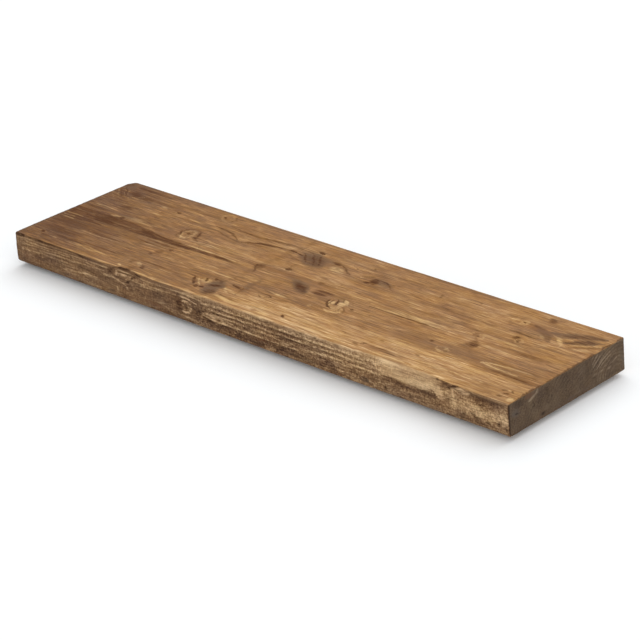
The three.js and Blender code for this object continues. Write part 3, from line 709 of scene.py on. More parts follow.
def points_of(mesh):
    """Places of a mesh's points in millimetres, and their normals."""
    points = np.empty(len(mesh.vertices) * 3, np.float32)
    normals = np.empty(len(mesh.vertices) * 3, np.float32)
    mesh.vertices.foreach_get("co", points)
    mesh.vertices.foreach_get("normal", normals)
    return points.reshape(-1, 3).astype(float) / MM, normals.reshape(-1, 3).astype(float)


def set_points(mesh, points):
    """Moves the points of a mesh to places given in millimetres."""
    mesh.vertices.foreach_set("co", (points * MM).astype(np.float32).ravel())
    mesh.update()


def combine(piece, other, operation):
    """Cuts the other object out of the piece, or joins it on, and removes the other."""
    step = piece.modifiers.new("combine", "BOOLEAN")
    step.operation = operation
    step.solver = "MANIFOLD"
    step.object = other
    bpy.context.view_layer.update()
    evaluated = piece.evaluated_get(bpy.context.evaluated_depsgraph_get())
    mesh = bpy.data.meshes.new_from_object(evaluated)
    piece.modifiers.clear()
    piece.data = mesh
    bpy.data.objects.remove(other)


def distance_to_line(u, v, line):
    """How far points lie from a line of points, and how far along it their nearest point is."""
    nearest = np.full(u.shape, 1e9)
    along = np.zeros(u.shape)
    lengths = [math.dist(a, b) for a, b in zip(line, line[1:])]
    whole = sum(lengths)
    done = 0.0
    for start, end, length in zip(line, line[1:], lengths):
        du, dv = (end[0] - start[0]) / length, (end[1] - start[1]) / length
        t = np.clip((u - start[0]) * du + (v - start[1]) * dv, 0.0, length)
        distance = np.hypot(u - start[0] - t * du, v - start[1] - t * dv)
        closer = distance < nearest
        nearest = np.where(closer, distance, nearest)
        along = np.where(closer, (done + t) / whole, along)
        done += length
    return nearest, along


def rows_of(table):
    """The rows of a table of marks, each after its kind."""
    return ((channel, *row) for channel, rows in table.items() for row in rows)


class Marks:
    """Adds up how strongly each point of a face carries each kind of mark."""

    CHANNELS = ("dark", "light", "rust", "grey")

    def __init__(self, u, v, share, seed):
        self.share = share
        wobble = 0.9 * warp_noise(u / 7.0, v / 3.0, seed)
        wobble += 1.6 * warp_noise(u / 23.0, v / 9.0, seed + 5)
        jitter = 0.7 * warp_noise(u / 9.0, v / 2.2, seed + 9)
        jitter += 0.8 * warp_noise(u / 30.0, v / 7.0, seed + 13)
        self.u = u + 1.6 * wobble
        self.v = v + 0.55 * jitter
        self.ragged = torn_noise(u / 6.0, v / 1.6, seed)
        self.values = {name: np.zeros(u.shape) for name in self.CHANNELS}

    def add(self, channel, strength, mask, at):
        """Lays a mark over what the points carry already, a little ragged."""
        amount = np.clip(strength * mask * (1.0 + 0.3 * self.ragged[at]), 0.0, 1.0) * self.share[at]
        values = self.values[channel]
        values[at] = 1.0 - (1.0 - values[at]) * (1.0 - amount)

    def around(self, u, v, reach_u, reach_v):
        """The points of the face that lie within reach of a place."""
        near = (np.abs(self.u - u) < reach_u) & (np.abs(self.v - v) < reach_v)
        return np.nonzero(near & (self.share > 0.0))[0]

    def spots(self, table):
        for channel, strength, u, v, half_u, half_v, *angle in rows_of(table):
            reach = 1.5 * max(half_u, half_v) + 2.0
            at = self.around(u, v, reach, reach)
            turn = math.radians(sum(angle))
            du, dv = self.u[at] - u, self.v[at] - v
            along = (du * math.cos(turn) + dv * math.sin(turn)) / half_u
            across = (dv * math.cos(turn) - du * math.sin(turn)) / half_v
            self.add(channel, strength, smoothstep(1.3, 0.45, np.hypot(along, across)), at)

    def halos(self, table):
        for channel, strength, u, v, half_u, half_v, width in rows_of(table):
            reach = max(half_u, half_v) + width + 2.0
            at = self.around(u, v, reach, reach)
            du, dv = self.u[at] - u, self.v[at] - v
            ratio = np.hypot(du / half_u, dv / half_v)
            away = np.abs(ratio - 1.0) * min(half_u, half_v)
            self.add(channel, strength, smoothstep(0.85, 0.25, away / width), at)

    def strokes(self, table):
        for channel, strength, width, line in rows_of(table):
            ends = np.array(line)
            middle = (ends.min(0) + ends.max(0)) / 2
            half = (ends.max(0) - ends.min(0)) / 2 + width + 2.0
            at = self.around(middle[0], middle[1], half[0], half[1])
            distance, along = distance_to_line(self.u[at], self.v[at], line)
            reach = width * (0.35 + 0.65 * window(along, 0.0, 0.3, 0.7, 1.0))
            self.add(channel, strength, smoothstep(1.0, 0.3, distance / reach), at)

    def bands(self, table):
        for channel, strength, edges in rows_of(table):
            places, uppers, lowers = np.transpose(edges)
            start, end = places[0], places[-1]
            at = np.nonzero((self.u > start - 9) & (self.u < end + 9) & (self.share > 0.0))[0]
            u, v = self.u[at], self.v[at]
            upper = np.interp(u, places, uppers)
            lower = np.interp(u, places, lowers)
            inside = smoothstep(1.4, -1.0, v - upper) * smoothstep(1.4, -1.0, lower - v)
            self.add(channel, strength, inside * window(u, start - 8, start + 22, end - 22, end + 8), at)


def joined(*sets):
    """Marks of several faces, put together channel by channel."""
    return {
        name: 1.0 - np.prod([1.0 - marks.values[name] for marks in sets], axis=0)
        for name in Marks.CHANNELS
    }


class Surface:
    """Points of the board with the share of each that belongs to the top, the front and so on."""

    def __init__(self, points, normals):
        self.x, self.y, self.z = points.T
        inside = (self.y < -RAW_START) & (self.y > -RAW_REACH) & (np.abs(self.z) < RAW_HALF_HEIGHT)
        self.raw = (inside & (np.abs(self.x) < HALF_LENGTH - RAW_END_GAP)).astype(float)
        outer = 1.0 - self.raw
        self.top = smoothstep(0.4, 0.85, normals[:, 2]) * outer
        before = self.y < FRONT + FRONT_FACE_DEPTH
        self.front = smoothstep(0.3, 0.75, -normals[:, 1]) * outer * before
        self.end = smoothstep(0.6, 0.9, np.abs(normals[:, 0])) * outer
        self.right = self.end * (self.x > 0.0)

    def rings(self):
        """Which growth ring each point lies in, counted from the pith."""
        x, y, z = self.x, self.y, self.z
        swerve = areas(TOP_SWERVES, x, y, power=1) * self.top
        wander = 9.0 * ring_noise(x / 210.0, 0.5) + 3.0 * ring_noise(x / 70.0, 4.5)
        behind = y > JOINT_Y
        pith_y = np.where(behind, PITH_Y, FRONT_PITH_Y)
        pith_z = np.where(behind, PITH_Z, FRONT_PITH_Z)
        natural = np.hypot(y + swerve - pith_y - wander, z - pith_z) / RING_PITCH
        natural += 0.45 * ring_noise(x / 120.0, y / 26.0, z / 26.0)
        natural += 0.16 * ring_noise(x / 30.0, y / 9.0, z / 9.0)
        return natural

    def crests(self):
        """How close each point of the front is to the crest of a ridge: 1 on it, 0 in a furrow."""
        x = self.x
        z = self.z + 0.55 * ring_noise(x / 14.0, self.z / 6.0, 3.5) + 0.35 * warp_noise(x / 5.0, 2.5)
        crest = np.zeros(x.shape)
        for strength, width, line in FRONT_RIDGES:
            above = z - read_along(line, x)
            reach = np.where(above > 0.0, 1.1, 0.65) * width
            start, end = line[0][0], line[-1][0]
            ends = window(x, start - 5, start + 5, end - 5, end + 5)
            crest = np.maximum(crest, strength * ends * np.exp(-((above / reach) ** 2)))
        return crest * self.front

    def wane(self):
        """Where the bark edge has left a smooth strip, and how far above its foot a point lies."""
        wave = 0.6 * broad_noise(self.x / 16.0, 6.5) + 0.4 * warp_noise(self.x / 5.0, 7.5)
        above = self.z + wave - read_along(WANE_EDGE, self.x)
        return window(self.x, *WANE_SPAN), above

    def roughness(self):
        """How rough the front is at each point, smoother towards its top edge."""
        strip, above = self.wane()
        rough = read_along(FRONT_ROUGHNESS, self.x)
        rough = rough + (0.5 * smoothstep(1.0, -1.0, above) - 0.3) * strip
        return rough * (1.0 - 0.65 * smoothstep(15.5, 20.5, self.z))

    def corner(self):
        """A straight dark line down the corner between the front and the right end."""
        at_end = smoothstep(HALF_LENGTH - 2.4, HALF_LENGTH - 1.0, self.x)
        at_front = smoothstep(FRONT + 4.0, FRONT + 1.8, self.y)
        return 0.9 * at_end * at_front * smoothstep(22.0, 19.0, self.z)

    def marks(self):
        """How strongly each point carries each kind of mark, all faces together."""
        top = Marks(self.x, self.y, self.top, 1.0)
        top.spots(TOP_SPOTS)
        top.halos(TOP_HALOS)
        top.strokes(TOP_STROKES)
        top.bands(TOP_BANDS)
        front = Marks(self.x, self.z, self.front, 21.0)
        front.spots(FRONT_SPOTS)
        front.halos(FRONT_HALOS)
        front.strokes(FRONT_STROKES)
        end = Marks(self.y, self.z, self.right, 41.0)
        end.spots(END_SPOTS)
        end.strokes(END_STROKES)
        marks = joined(top, front, end)
        marks["dark"] = np.maximum(marks["dark"], self.corner())
        return marks

    def tone(self):
        """Broad lightness of the wood, from 0, dark, to 1, light, with painted highlights and shade on the
        front's ridges.
        """
        x, y, z = self.x, self.y, self.z
        arris = window(x, *ARRIS_SPAN) * smoothstep(FRONT + 5.5, FRONT + 3.5, y)
        plank_edge = y + 0.6 * warp_noise(x / 6.0, 8.5)
        front_plank = smoothstep(-165.0, -168.0, plank_edge) * smoothstep(-50.0, 50.0, x)
        tone = areas(TOP_AREAS, x, y) + 0.1 * front_plank + 0.24 * arris
        tone = read_along(TOP_TONE, x) + tone * self.top
        tone += 0.08 * broad_noise(x / 130.0, y / 17.0, z / 17.0)
        tone += 0.05 * broad_noise(x / 40.0, y / 7.0, z / 7.0 + 7.0)
        wave = 1.2 * broad_noise(x / 16.0, 6.5) + 0.8 * warp_noise(x / 5.0, 7.5)
        front_tone = read_along(FRONT_TONE, x) + areas(FRONT_AREAS, x, z + wave)
        strip, above = self.wane()
        front_tone += strip * (0.37 * smoothstep(-0.5, 0.7, above) - 0.04) * smoothstep(24.0, 20.0, z)
        front_tone += 0.04 * broad_noise(x / 40.0, z / 4.0, 3.0)
        # Painted highlight along the crests of the front's ridges and painted shade in the furrows, deeper
        # where the front is rougher
        crests = self.crests()
        front_tone += 0.38 * crests - (0.03 + 0.05 * self.roughness()) * (1.0 - crests)
        lip = 0.1 * smoothstep(17.0, 20.0, z) + 0.2 * smoothstep(20.5, 22.0, z)
        front_tone += lip * window(x, *LIP_SPAN)
        return np.clip(tone + (front_tone - tone) * self.front, 0.0, 1.0)


def sawtooth(value, fall):
    """A profile that drops over the first share of each step and climbs over the rest."""
    part = value - np.floor(value)
    return np.where(part < fall, smoothstep(0.0, fall, part), 1.0 - smoothstep(fall, 1.0, part))


def relief_depth(surface):
    """How far the weathered surface lies under the planed board, never above it."""
    x, y, z = surface.x, surface.y, surface.z
    grain = sawtooth(surface.rings(), 0.5)
    marks = surface.marks()
    top = 0.1 + 0.18 * grain + 0.12 * (1.0 + broad_noise(x / 40.0, y / 6.0, 5.0))
    top += 0.25 * marks["dark"] + 0.1 * marks["grey"]
    chipped = np.clip(torn_noise(x / 6.0, z / 3.0, 4.0), 0.0, 1.0)
    ragged = np.clip(torn_noise(x / 9.0, z / 7.0, 6.0), 0.0, 1.0) * smoothstep(-9.0, -18.0, z)
    front = FURROW_DEPTH * surface.roughness() * (1.0 - surface.crests())
    front += 0.6 * chipped * smoothstep(8.0, -16.0, z) + 1.3 * ragged
    front += 0.5 * marks["dark"] + 0.2 * (1.0 + broad_noise(x / 18.0, z / 5.0, 8.0))
    end = 0.12 + 0.16 * grain + 0.5 * marks["dark"] * surface.right
    depth = 0.12 + 0.14 * grain
    for share, relief in ((surface.top, top), (surface.front, front), (surface.end, end)):
        depth = depth + (relief - depth) * share
    return np.clip(depth, 0.0, DEEPEST_RELIEF)


def rounded_outline(width, height, radius, steps):
    """Corners of a rounded rectangle in x and z."""
    outline = []
    for turn in range(4):
        side_x = (width / 2 - radius) * (1 if turn in (0, 3) else -1)
        side_z = (height / 2 - radius) * (1 if turn in (0, 1) else -1)
        for step in range(steps + 1):
            angle = (turn + step / steps) * math.pi / 2
            outline.append((side_x + radius * math.cos(angle), side_z + radius * math.sin(angle)))
    return outline


def rectangle(half_x, half_z):
    """Corners of a rectangle about the middle."""
    return [(-half_x, -half_z), (half_x, -half_z), (half_x, half_z), (-half_x, half_z)]


def prism(name, outlines):
    """A solid through outlines of equal length, each given as y with its points in x and z."""
    size = len(outlines[0][1])
    points = [(x, y, z) for y, outline in outlines for x, z in outline]
    faces = [list(range(size)), list(range(len(points) - size, len(points)))[::-1]]
    for ring in range(len(outlines) - 1):
        faces += ring_quads(ring * size, (ring + 1) * size, size)
    return object_from(name, mesh_from(name, points, faces))


def circle_points(segments):
    """Cosine and sine around a circle."""
    return [(math.cos(a), math.sin(a)) for a in np.arange(segments) * 2 * math.pi / segments]


def turned(name, profile, segments):
    """A solid of revolution on the y axis from pairs of radius and y, or a sleeve if none is on it."""
    rims = [row for row in profile if row[0] > 0.0]
    solid = len(rims) < len(profile)
    points = [(radius * c, y, radius * s) for radius, y in rims for c, s in circle_points(segments)]
    faces = []
    for ring in range(len(rims) - 1 if solid else len(rims)):
        faces += ring_quads(ring * segments, (ring + 1) % len(rims) * segments, segments)
    if solid:
        faces += closing_fans(points, len(rims), segments, profile[0][1], profile[-1][1])
    return object_from(name, mesh_from(name, points, faces))


def closing_fans(points, rings, size, first_y, last_y):
    """Adds a point on the axis at both ends, and gives the faces from it to the outer rings."""
    faces = []
    for ring, y in ((0, first_y), (rings - 1, last_y)):
        faces += [[ring * size + i, ring * size + (i + 1) % size, len(points)] for i in range(size)]
        points.append((0.0, y, 0.0))
    return faces


def moved(piece, x):
    piece.data.transform(Matrix.Translation((x * MM, 0.0, 0.0)))
    return piece


def smooth(piece, angle):
    piece.data.shade_smooth()
    piece.data.set_sharp_from_angle(angle=math.radians(angle))


# Supports: their sizes in the frame, and the details that are added here
PLATE_LOW, PLATE_HIGH = box_mm("support_plate_centre")
ROD_TIP = box_mm("support_rod_centre")[0][1]
SCREW_LOW, SCREW_HIGH = box_mm("wall_screw_centre_b")
FIT_GAP = 0.3
PLATE_CORNER = 5.0
PLATE_EASE = 0.4
SCREW_HOLE = 2.3
CONE_RADIUS = 4.9
CONE_EASE = 0.25
SPIGOT_HOLE = 4.3
WELD_LEG = 2.0
WELD_RIPPLES = 18
RIPPLE_DEPTH = 0.035
ROOT_RADIUS = 4.0
ROOT_EASE = 0.2
ROD_RADIUS = 6.0
TIP_ROUND = 1.2
BORE_SPARE = 4.0
CUT_OVERRUN = 2.0
HOLE_SEGMENTS = 48
ROD_SEGMENTS = 64
METAL_SHARP_ANGLE = 35

# Details of the screws and plugs
HEAD_RADIUS = 4.0
SHANK_RADIUS = 2.0
CORE_RADIUS = 1.35
THREAD_PITCH = 1.8
THREAD_STEPS = 9
POINT_LENGTH = 5.0
SCREW_SEGMENTS = 28
RECESS_ARM = 2.3
RECESS_HALF_WIDTH = 0.55
RECESS_DEPTH = 1.6
PLUG_BORE = 2.3
PLUG_SEGMENTS = 40
BARB_PITCH = 5.0
BARB_DEPTH = 0.25
SLIT_LENGTH = 21.0
SLIT_HALF_WIDTH = 0.5


def support_centre(side):
    low, high = box_mm(f"support_plate_{side}")
    return (low[0] + high[0]) / 2


def support_room(side):
    """The pocket and the bore that one support needs in the board."""
    width, _, height = PLATE_HIGH - PLATE_LOW + 2 * FIT_GAP
    floor = PLATE_LOW[1] - FIT_GAP
    outline = rounded_outline(width, height, PLATE_CORNER + FIT_GAP, 8)
    room = prism("pocket", [(floor, outline), (CUT_OVERRUN, outline)])
    bore_radius = ROD_RADIUS + FIT_GAP
    mouth = bore_radius + WELD_LEG + FIT_GAP
    end = ROD_TIP - BORE_SPARE
    profile = [
        (0.0, CUT_OVERRUN - 0.5),
        (mouth, CUT_OVERRUN - 0.5),
        (mouth, floor),
        (bore_radius, floor - (mouth - bore_radius)),
        (bore_radius, end),
        (0.0, end - bore_radius / 2),
    ]
    combine(room, turned("bore", profile, HOLE_SEGMENTS), "UNION")
    return moved(room, support_centre(side))


def board_piece():
    """The board with its relief and its left end cut inwards, and with room for the supports."""
    points, faces = closed_board()
    mesh = mesh_from("shelf_board_wood", points, faces)
    at, normals = points_of(mesh)
    depth = relief_depth(Surface(at, normals))
    relieved = at - normals * depth[:, None]
    inward = LEFT_END_SKEW * smoothstep(FRONT, 0.0, at[:, 1])
    inward += LEFT_END_LEAN * smoothstep(-6.0, 20.0, at[:, 2])
    relieved[:, 0] += inward * smoothstep(LEFT_END_START, -HALF_LENGTH, at[:, 0])
    relieved = np.clip(relieved, BOARD_LOW + SKIN, BOARD_HIGH - SKIN)
    set_points(mesh, relieved)
    piece = object_from("shelf_board_wood", mesh)
    for side in SIDES:
        combine(piece, support_room(side), "DIFFERENCE")
    smooth(piece, SHARP_ANGLE)
    paint_board(piece.data)
    return piece


def paint_board(mesh):
    """Writes what the wood's material reads at each point of the board."""
    surface = Surface(*points_of(mesh))
    fields = {
        **surface.marks(),
        "ring": surface.rings(),
        "rough": surface.roughness(),
        "front": surface.front,
        "end": surface.end,
        "raw": surface.raw,
        "tone": surface.tone(),
    }
    for name, values in fields.items():
        attribute = mesh.attributes.new(name, "FLOAT", "POINT")
        attribute.data.foreach_set("value", values.astype(np.float32))


def colour(red, green, blue):
    """A colour written as on screen, from 0 to 255, as the renderer wants it."""
    linear = [
        c / 12.92 if c <= 0.04045 else ((c + 0.055) / 1.055) ** 2.4
        for c in (red / 255, green / 255, blue / 255)
    ]
    return (*linear, 1.0)


class Shader:
    """Builds the node tree of a material or a world."""

    def __init__(self, owner):
        self.owner = owner
        owner.use_nodes = True
        self.tree = owner.node_tree
        self.tree.nodes.clear()
        self.spot = None

    def node(self, kind, inputs=(), **settings):
        node = self.tree.nodes.new(kind)
        for key, value in settings.items():
            setattr(node, key, value)
        for key, value in dict(inputs).items():
            self.feed(node.inputs[key], value)
        return node

    def feed(self, socket, value):
        if isinstance(value, bpy.types.NodeSocket):
            self.tree.links.new(value, socket)
        else:
            socket.default_value = value

    def math(self, operation, a, b=0.0, clamp=False):
        return self.node("ShaderNodeMath", {0: a, 1: b}, operation=operation, use_clamp=clamp).outputs[0]

    def sum(self, first, *others):
        for other in others:
            first = self.math("ADD", first, other)
        return first

    def times(self, a, b):
        return self.math("MULTIPLY", a, b)

    def mix(self, share, a, b):
        """A colour between two."""
        return self.node("ShaderNodeMix", {0: share, 6: a, 7: b}, data_type="RGBA").outputs[2]

    def blend(self, share, a, b):
        """A number between two."""
        return self.node("ShaderNodeMix", {0: share, 2: a, 3: b}, data_type="FLOAT").outputs[0]

    def swing(self, noise, reach):
        """A noise turned into a change of tone, darker and lighter by the reach."""
        return self.remap(noise, 0.3, 0.7, -reach, reach)

    def remap(self, value, low, high, to_low, to_high):
        inputs = {"Value": value, "From Min": low, "From Max": high, "To Min": to_low, "To Max": to_high}
        return self.node("ShaderNodeMapRange", inputs).outputs[0]

    def attribute(self, name):
        return self.node("ShaderNodeAttribute", attribute_name=name).outputs["Fac"]

    def place(self, scale=(1, 1, 1), turn=(0, 0, 0)):
        """Object coordinates in metres, scaled to the number of features per metre."""
        if self.spot is None:
            self.spot = self.node("ShaderNodeTexCoord").outputs["Object"]
        inputs = {"Vector": self.spot, "Scale": scale, "Rotation": turn}
        return self.node("ShaderNodeMapping", inputs).outputs[0]

    def noise(self, scale, detail=3.0, roughness=0.55, turn=(0, 0, 0)):
        inputs = {"Vector": self.place(scale, turn), "Scale": 1.0, "Detail": detail, "Roughness": roughness}
        return self.node("ShaderNodeTexNoise", inputs).outputs[0]

    def ramp(self, value, *stops):
        """A ramp with a grey value at each position, or with a colour as on screen."""
        node = self.node("ShaderNodeValToRGB", {"Fac": value})
        elements = node.color_ramp.elements
        while len(elements) < len(stops):
            elements.new(0.5)
        for element, (position, *shown) in zip(elements, stops):
            element.position = position
            element.color = colour(*shown) if len(shown) == 3 else (*shown * 3, 1.0)
        return node.outputs["Color"]

    def bump(self, height, distance, strength):
        inputs = {"Height": height, "Distance": distance, "Strength": strength}
        return self.node("ShaderNodeBump", inputs).outputs[0]

    def finish(self, **sockets):
        surface = self.node("ShaderNodeBsdfPrincipled")
        for name, value in sockets.items():
            self.feed(surface.inputs[name.replace("_", " ")], value)
        self.node("ShaderNodeOutputMaterial", {"Surface": surface.outputs[0]})
        return self.owner


def material_shader(name):
    return Shader(bpy.data.materials.new(name))


# Colours as on screen, from 0 to 255: of the wood from dark to light, each after its place on the
# ramp, and of the marks on the top, on the front and on an end
TOP_COLOURS = (
    (0.0, 86, 54, 28), (0.3, 129, 91, 53), (0.55, 161, 118, 70), (0.8, 191, 151, 102), (1.0, 222, 190, 144),
)
FRONT_COLOURS = (
    (0.0, 72, 48, 32), (0.25, 108, 79, 55), (0.5, 142, 110, 79), (0.75, 182, 148, 109),
    (1.0, 226, 192, 147),
)
END_COLOURS = ((0.0, 72, 57, 44), (0.4, 97, 79, 62), (1.0, 128, 109, 86))
MARK_COLOURS = {
    "light": ((202, 164, 110), (218, 182, 140), (142, 122, 100)),
    "rust": ((124, 84, 45), (124, 80, 52), (104, 78, 60)),
    "grey": ((100, 72, 46), (92, 74, 58), (94, 82, 72)),
    "dark": ((72, 38, 8), (64, 41, 25), (56, 44, 36)),
}


# Layers of grain: features per metre along x, y and z, detail, roughness, and a turn if there is one
GRAIN = {
    "cloud": ((16, 38, 38), 3.0, 0.6),
    "streaks": ((16, 270, 270), 4.0, 0.7),
    "threads": ((40, 680, 680), 3.0, 0.6),
    "fibres": ((90, 1500, 1500), 2.0, 0.5),
    "furrows": ((70, 330, 330), 3.0, 0.65),
    "dents": ((260, 480, 480), 3.0, 0.65),
    "saw_marks": ((480, 480, 140), 3.0, 0.6, (0, 0.5, 0)),
    "specks": ((420, 420, 420), 2.0, 0.6),
}


def wood_fields(s):
    """What the wood's material draws on: what the board's points carry, and the layers of grain."""
    carried = ("tone", "front", "end", "raw", "rough", "ring", *Marks.CHANNELS)
    wood = SimpleNamespace(**{name: s.attribute(name) for name in carried})
    for name, row in GRAIN.items():
        setattr(wood, name, s.noise(*row))
    wood.year = s.math("FRACT", s.sum(wood.ring, s.swing(s.noise((14, 160, 160), 2.0), 0.18)))
    wood.late = s.ramp(
        wood.year, (0.0, 0.5), (0.08, 0.05), (0.45, 0.1), (0.75, 0.55), (0.93, 1.0), (1.0, 0.6)
    )
    return wood


def fine_lines(s, wood, light_scale, dark_scale, width, reach):
    """A change of tone along thin wavy lines: lighter where one noise crosses its middle, darker
    where another does."""
    patches = s.remap(wood.cloud, 0.38, 0.6, 0.15, 1.0)
    lines = []
    for scale in (light_scale, dark_scale):
        near = s.math("ABSOLUTE", s.math("SUBTRACT", s.noise(scale, 2.0, 0.5), 0.5))
        lines.append(s.times(s.remap(near, 0.0, width, 1.0, 0.0), patches))
    return s.times(s.math("SUBTRACT", *lines), reach)


def wood_shade(s, wood):
    """How light the wood is, from 0 to 1: its tone, with smooth grain on top and rough grain in front."""
    top_lines = fine_lines(s, wood, (9, 170, 170), (11, 140, 140), 0.035, 0.2)
    front_lines = fine_lines(s, wood, (20, 230, 230), (24, 200, 200), 0.05, 0.26)
    smooth = s.sum(s.swing(wood.streaks, 0.14), s.swing(wood.threads, 0.23), top_lines)
    rough = s.sum(s.swing(wood.furrows, 0.14), s.swing(wood.saw_marks, 0.23), s.swing(wood.dents, 0.29))
    rough = s.times(s.sum(rough, front_lines), wood.rough)
    rough = s.sum(rough, s.swing(wood.threads, 0.14))
    shade = s.sum(wood.tone, s.swing(wood.cloud, 0.08), s.blend(wood.front, smooth, rough))
    return s.math("ADD", shade, s.swing(wood.fibres, 0.06), clamp=True)


def end_colour(s, wood):
    """The cut fibres of the ends, with arcs of growth rings that are bolder near the pith."""
    arc = s.ramp(wood.year, (0.0, 0.0), (0.5, 1.0), (0.75, 1.0), (1.0, 0.0))
    share = s.remap(wood.ring, 10.8, 12.0, 0.5, 0.14)
    share = s.times(share, s.remap(s.noise((90, 90, 90), 2.0), 0.35, 0.65, 0.25, 1.0))
    fibres = s.sum(s.swing(wood.dents, 0.27), s.times(arc, share), s.swing(wood.cloud, 0.2))
    return s.ramp(s.math("ADD", fibres, 0.3, clamp=True), *END_COLOURS)


def bare_colour(s, wood):
    """The wood without its marks: top, front, ends, and the raw wood of the cuts."""
    shade = wood_shade(s, wood)
    line_depth = s.remap(s.noise((7, 60, 60), 2.0), 0.35, 0.7, 0.1, 0.55)
    top = s.mix(s.times(wood.late, line_depth), s.ramp(shade, *TOP_COLOURS), colour(110, 74, 40))
    body = s.mix(wood.front, top, s.ramp(shade, *FRONT_COLOURS))
    body = s.mix(wood.end, body, end_colour(s, wood))
    raw = s.mix(wood.streaks, colour(206, 176, 128), colour(226, 200, 156))
    return s.mix(wood.raw, body, raw)


def marked_colour(s, wood, body):
    """Lays the tints of the marks over a colour, torn along the grain."""
    torn = s.remap(s.blend(wood.front, wood.threads, wood.furrows), 0.38, 0.62, 0.35, 1.5)
    torn = s.blend(wood.end, torn, 1.0)
    for name, (on_top, on_front, on_end) in MARK_COLOURS.items():
        tint = s.mix(wood.front, colour(*on_top), colour(*on_front))
        tint = s.mix(wood.end, tint, colour(*on_end))
        amount = s.remap(s.times(getattr(wood, name), torn), 0.06, 0.66, 0.0, 0.95)
        body = s.mix(amount, body, tint)
    return body


def varied_colour(s, wood, body):
    """A little drift of hue and strength over a colour, and dark specks."""
    hue = s.remap(s.noise((30, 60, 60), 3.0, 0.6), 0.35, 0.65, 0.498, 0.502)
    strength = s.remap(s.noise((18, 44, 44), 3.0, 0.6), 0.35, 0.65, 1.04, 0.96)
    inputs = {"Hue": hue, "Saturation": strength, "Color": body}
    body = s.node("ShaderNodeHueSaturation", inputs).outputs[0]
    return s.mix(s.remap(wood.specks, 0.66, 0.74, 0.0, 0.4), body, colour(66, 44, 28))


def wood_material():
    s = material_shader("aged_pine")
    wood = wood_fields(s)
    body = varied_colour(s, wood, marked_colour(s, wood, bare_colour(s, wood)))
    fine = s.blend(wood.front, wood.fibres, wood.dents)
    height = s.sum(s.times(wood.late, 0.4), s.times(wood.streaks, 0.9), s.times(fine, 0.6))
    height = s.math("SUBTRACT", height, s.times(wood.dark, 0.6))
    rough = s.remap(s.sum(wood.streaks, wood.dark), 0.3, 1.2, 0.55, 0.75)
    normal = s.bump(height, 0.0004, 0.7)
    return s.finish(Base_Color=body, Roughness=rough, Specular_IOR_Level=0.1, Normal=normal)


def plate_material():
    s = material_shader("plate_steel")
    cells = s.node("ShaderNodeTexVoronoi", {"Vector": s.place(), "Scale": 190.0}).outputs["Color"]
    spangle = s.node("ShaderNodeSeparateColor", {"Color": cells}).outputs[0]
    cloud = s.noise((40, 40, 40), 4.0)
    scuffs = s.noise((30, 900, 900), 3.0, 0.6, turn=(0, 0.2, 0))
    shade = s.sum(s.times(spangle, 0.4), s.times(cloud, 0.6))
    base = s.ramp(shade, (0.15, 158, 163, 168), (0.85, 206, 208, 208))
    rough = s.remap(s.sum(spangle, scuffs), 0.3, 1.7, 0.26, 0.5)
    return s.finish(Base_Color=base, Metallic=1.0, Roughness=rough, Normal=s.bump(scuffs, 0.0001, 0.3))


def rod_material():
    s = material_shader("rod_steel")
    turning = s.noise((120, 2600, 120), 2.0, 0.5)
    cloud = s.noise((60, 60, 60), 4.0, 0.6)
    base = s.ramp(cloud, (0.3, 112, 114, 118), (0.7, 162, 164, 168))
    depth = s.node("ShaderNodeSeparateXYZ", {0: s.place()}).outputs[1]
    blued = s.ramp(s.remap(depth, -0.016, -0.004, 0.0, 1.0), (0.0, 0.0), (1.0, 0.75))
    base = s.mix(blued, base, colour(96, 84, 78))
    rough = s.remap(turning, 0.3, 0.7, 0.24, 0.42)
    return s.finish(Base_Color=base, Metallic=1.0, Roughness=rough, Normal=s.bump(turning, 0.00008, 0.4))


def screw_material():
    s = material_shader("screw_zinc")
    cloud = s.noise((260, 260, 260), 3.0, 0.6)
    base = s.ramp(cloud, (0.3, 176, 158, 104), (0.5, 204, 194, 150), (0.7, 190, 186, 172))
    rough = s.remap(s.noise((900, 900, 900), 2.0), 0.3, 0.7, 0.22, 0.38)
    return s.finish(Base_Color=base, Metallic=1.0, Roughness=rough)


def plug_material():
    s = material_shader("plug_nylon")
    cloud = s.noise((180, 180, 180), 4.0, 0.6)
    base = s.ramp(cloud, (0.3, 128, 132, 136), (0.7, 150, 154, 157))
    rough = s.remap(s.noise((1500, 1500, 1500), 2.0), 0.3, 0.7, 0.45, 0.62)
    dents = s.bump(cloud, 0.00005, 0.3)
    return s.finish(Base_Color=base, Roughness=rough, Subsurface_Weight=0.1, Normal=dents)


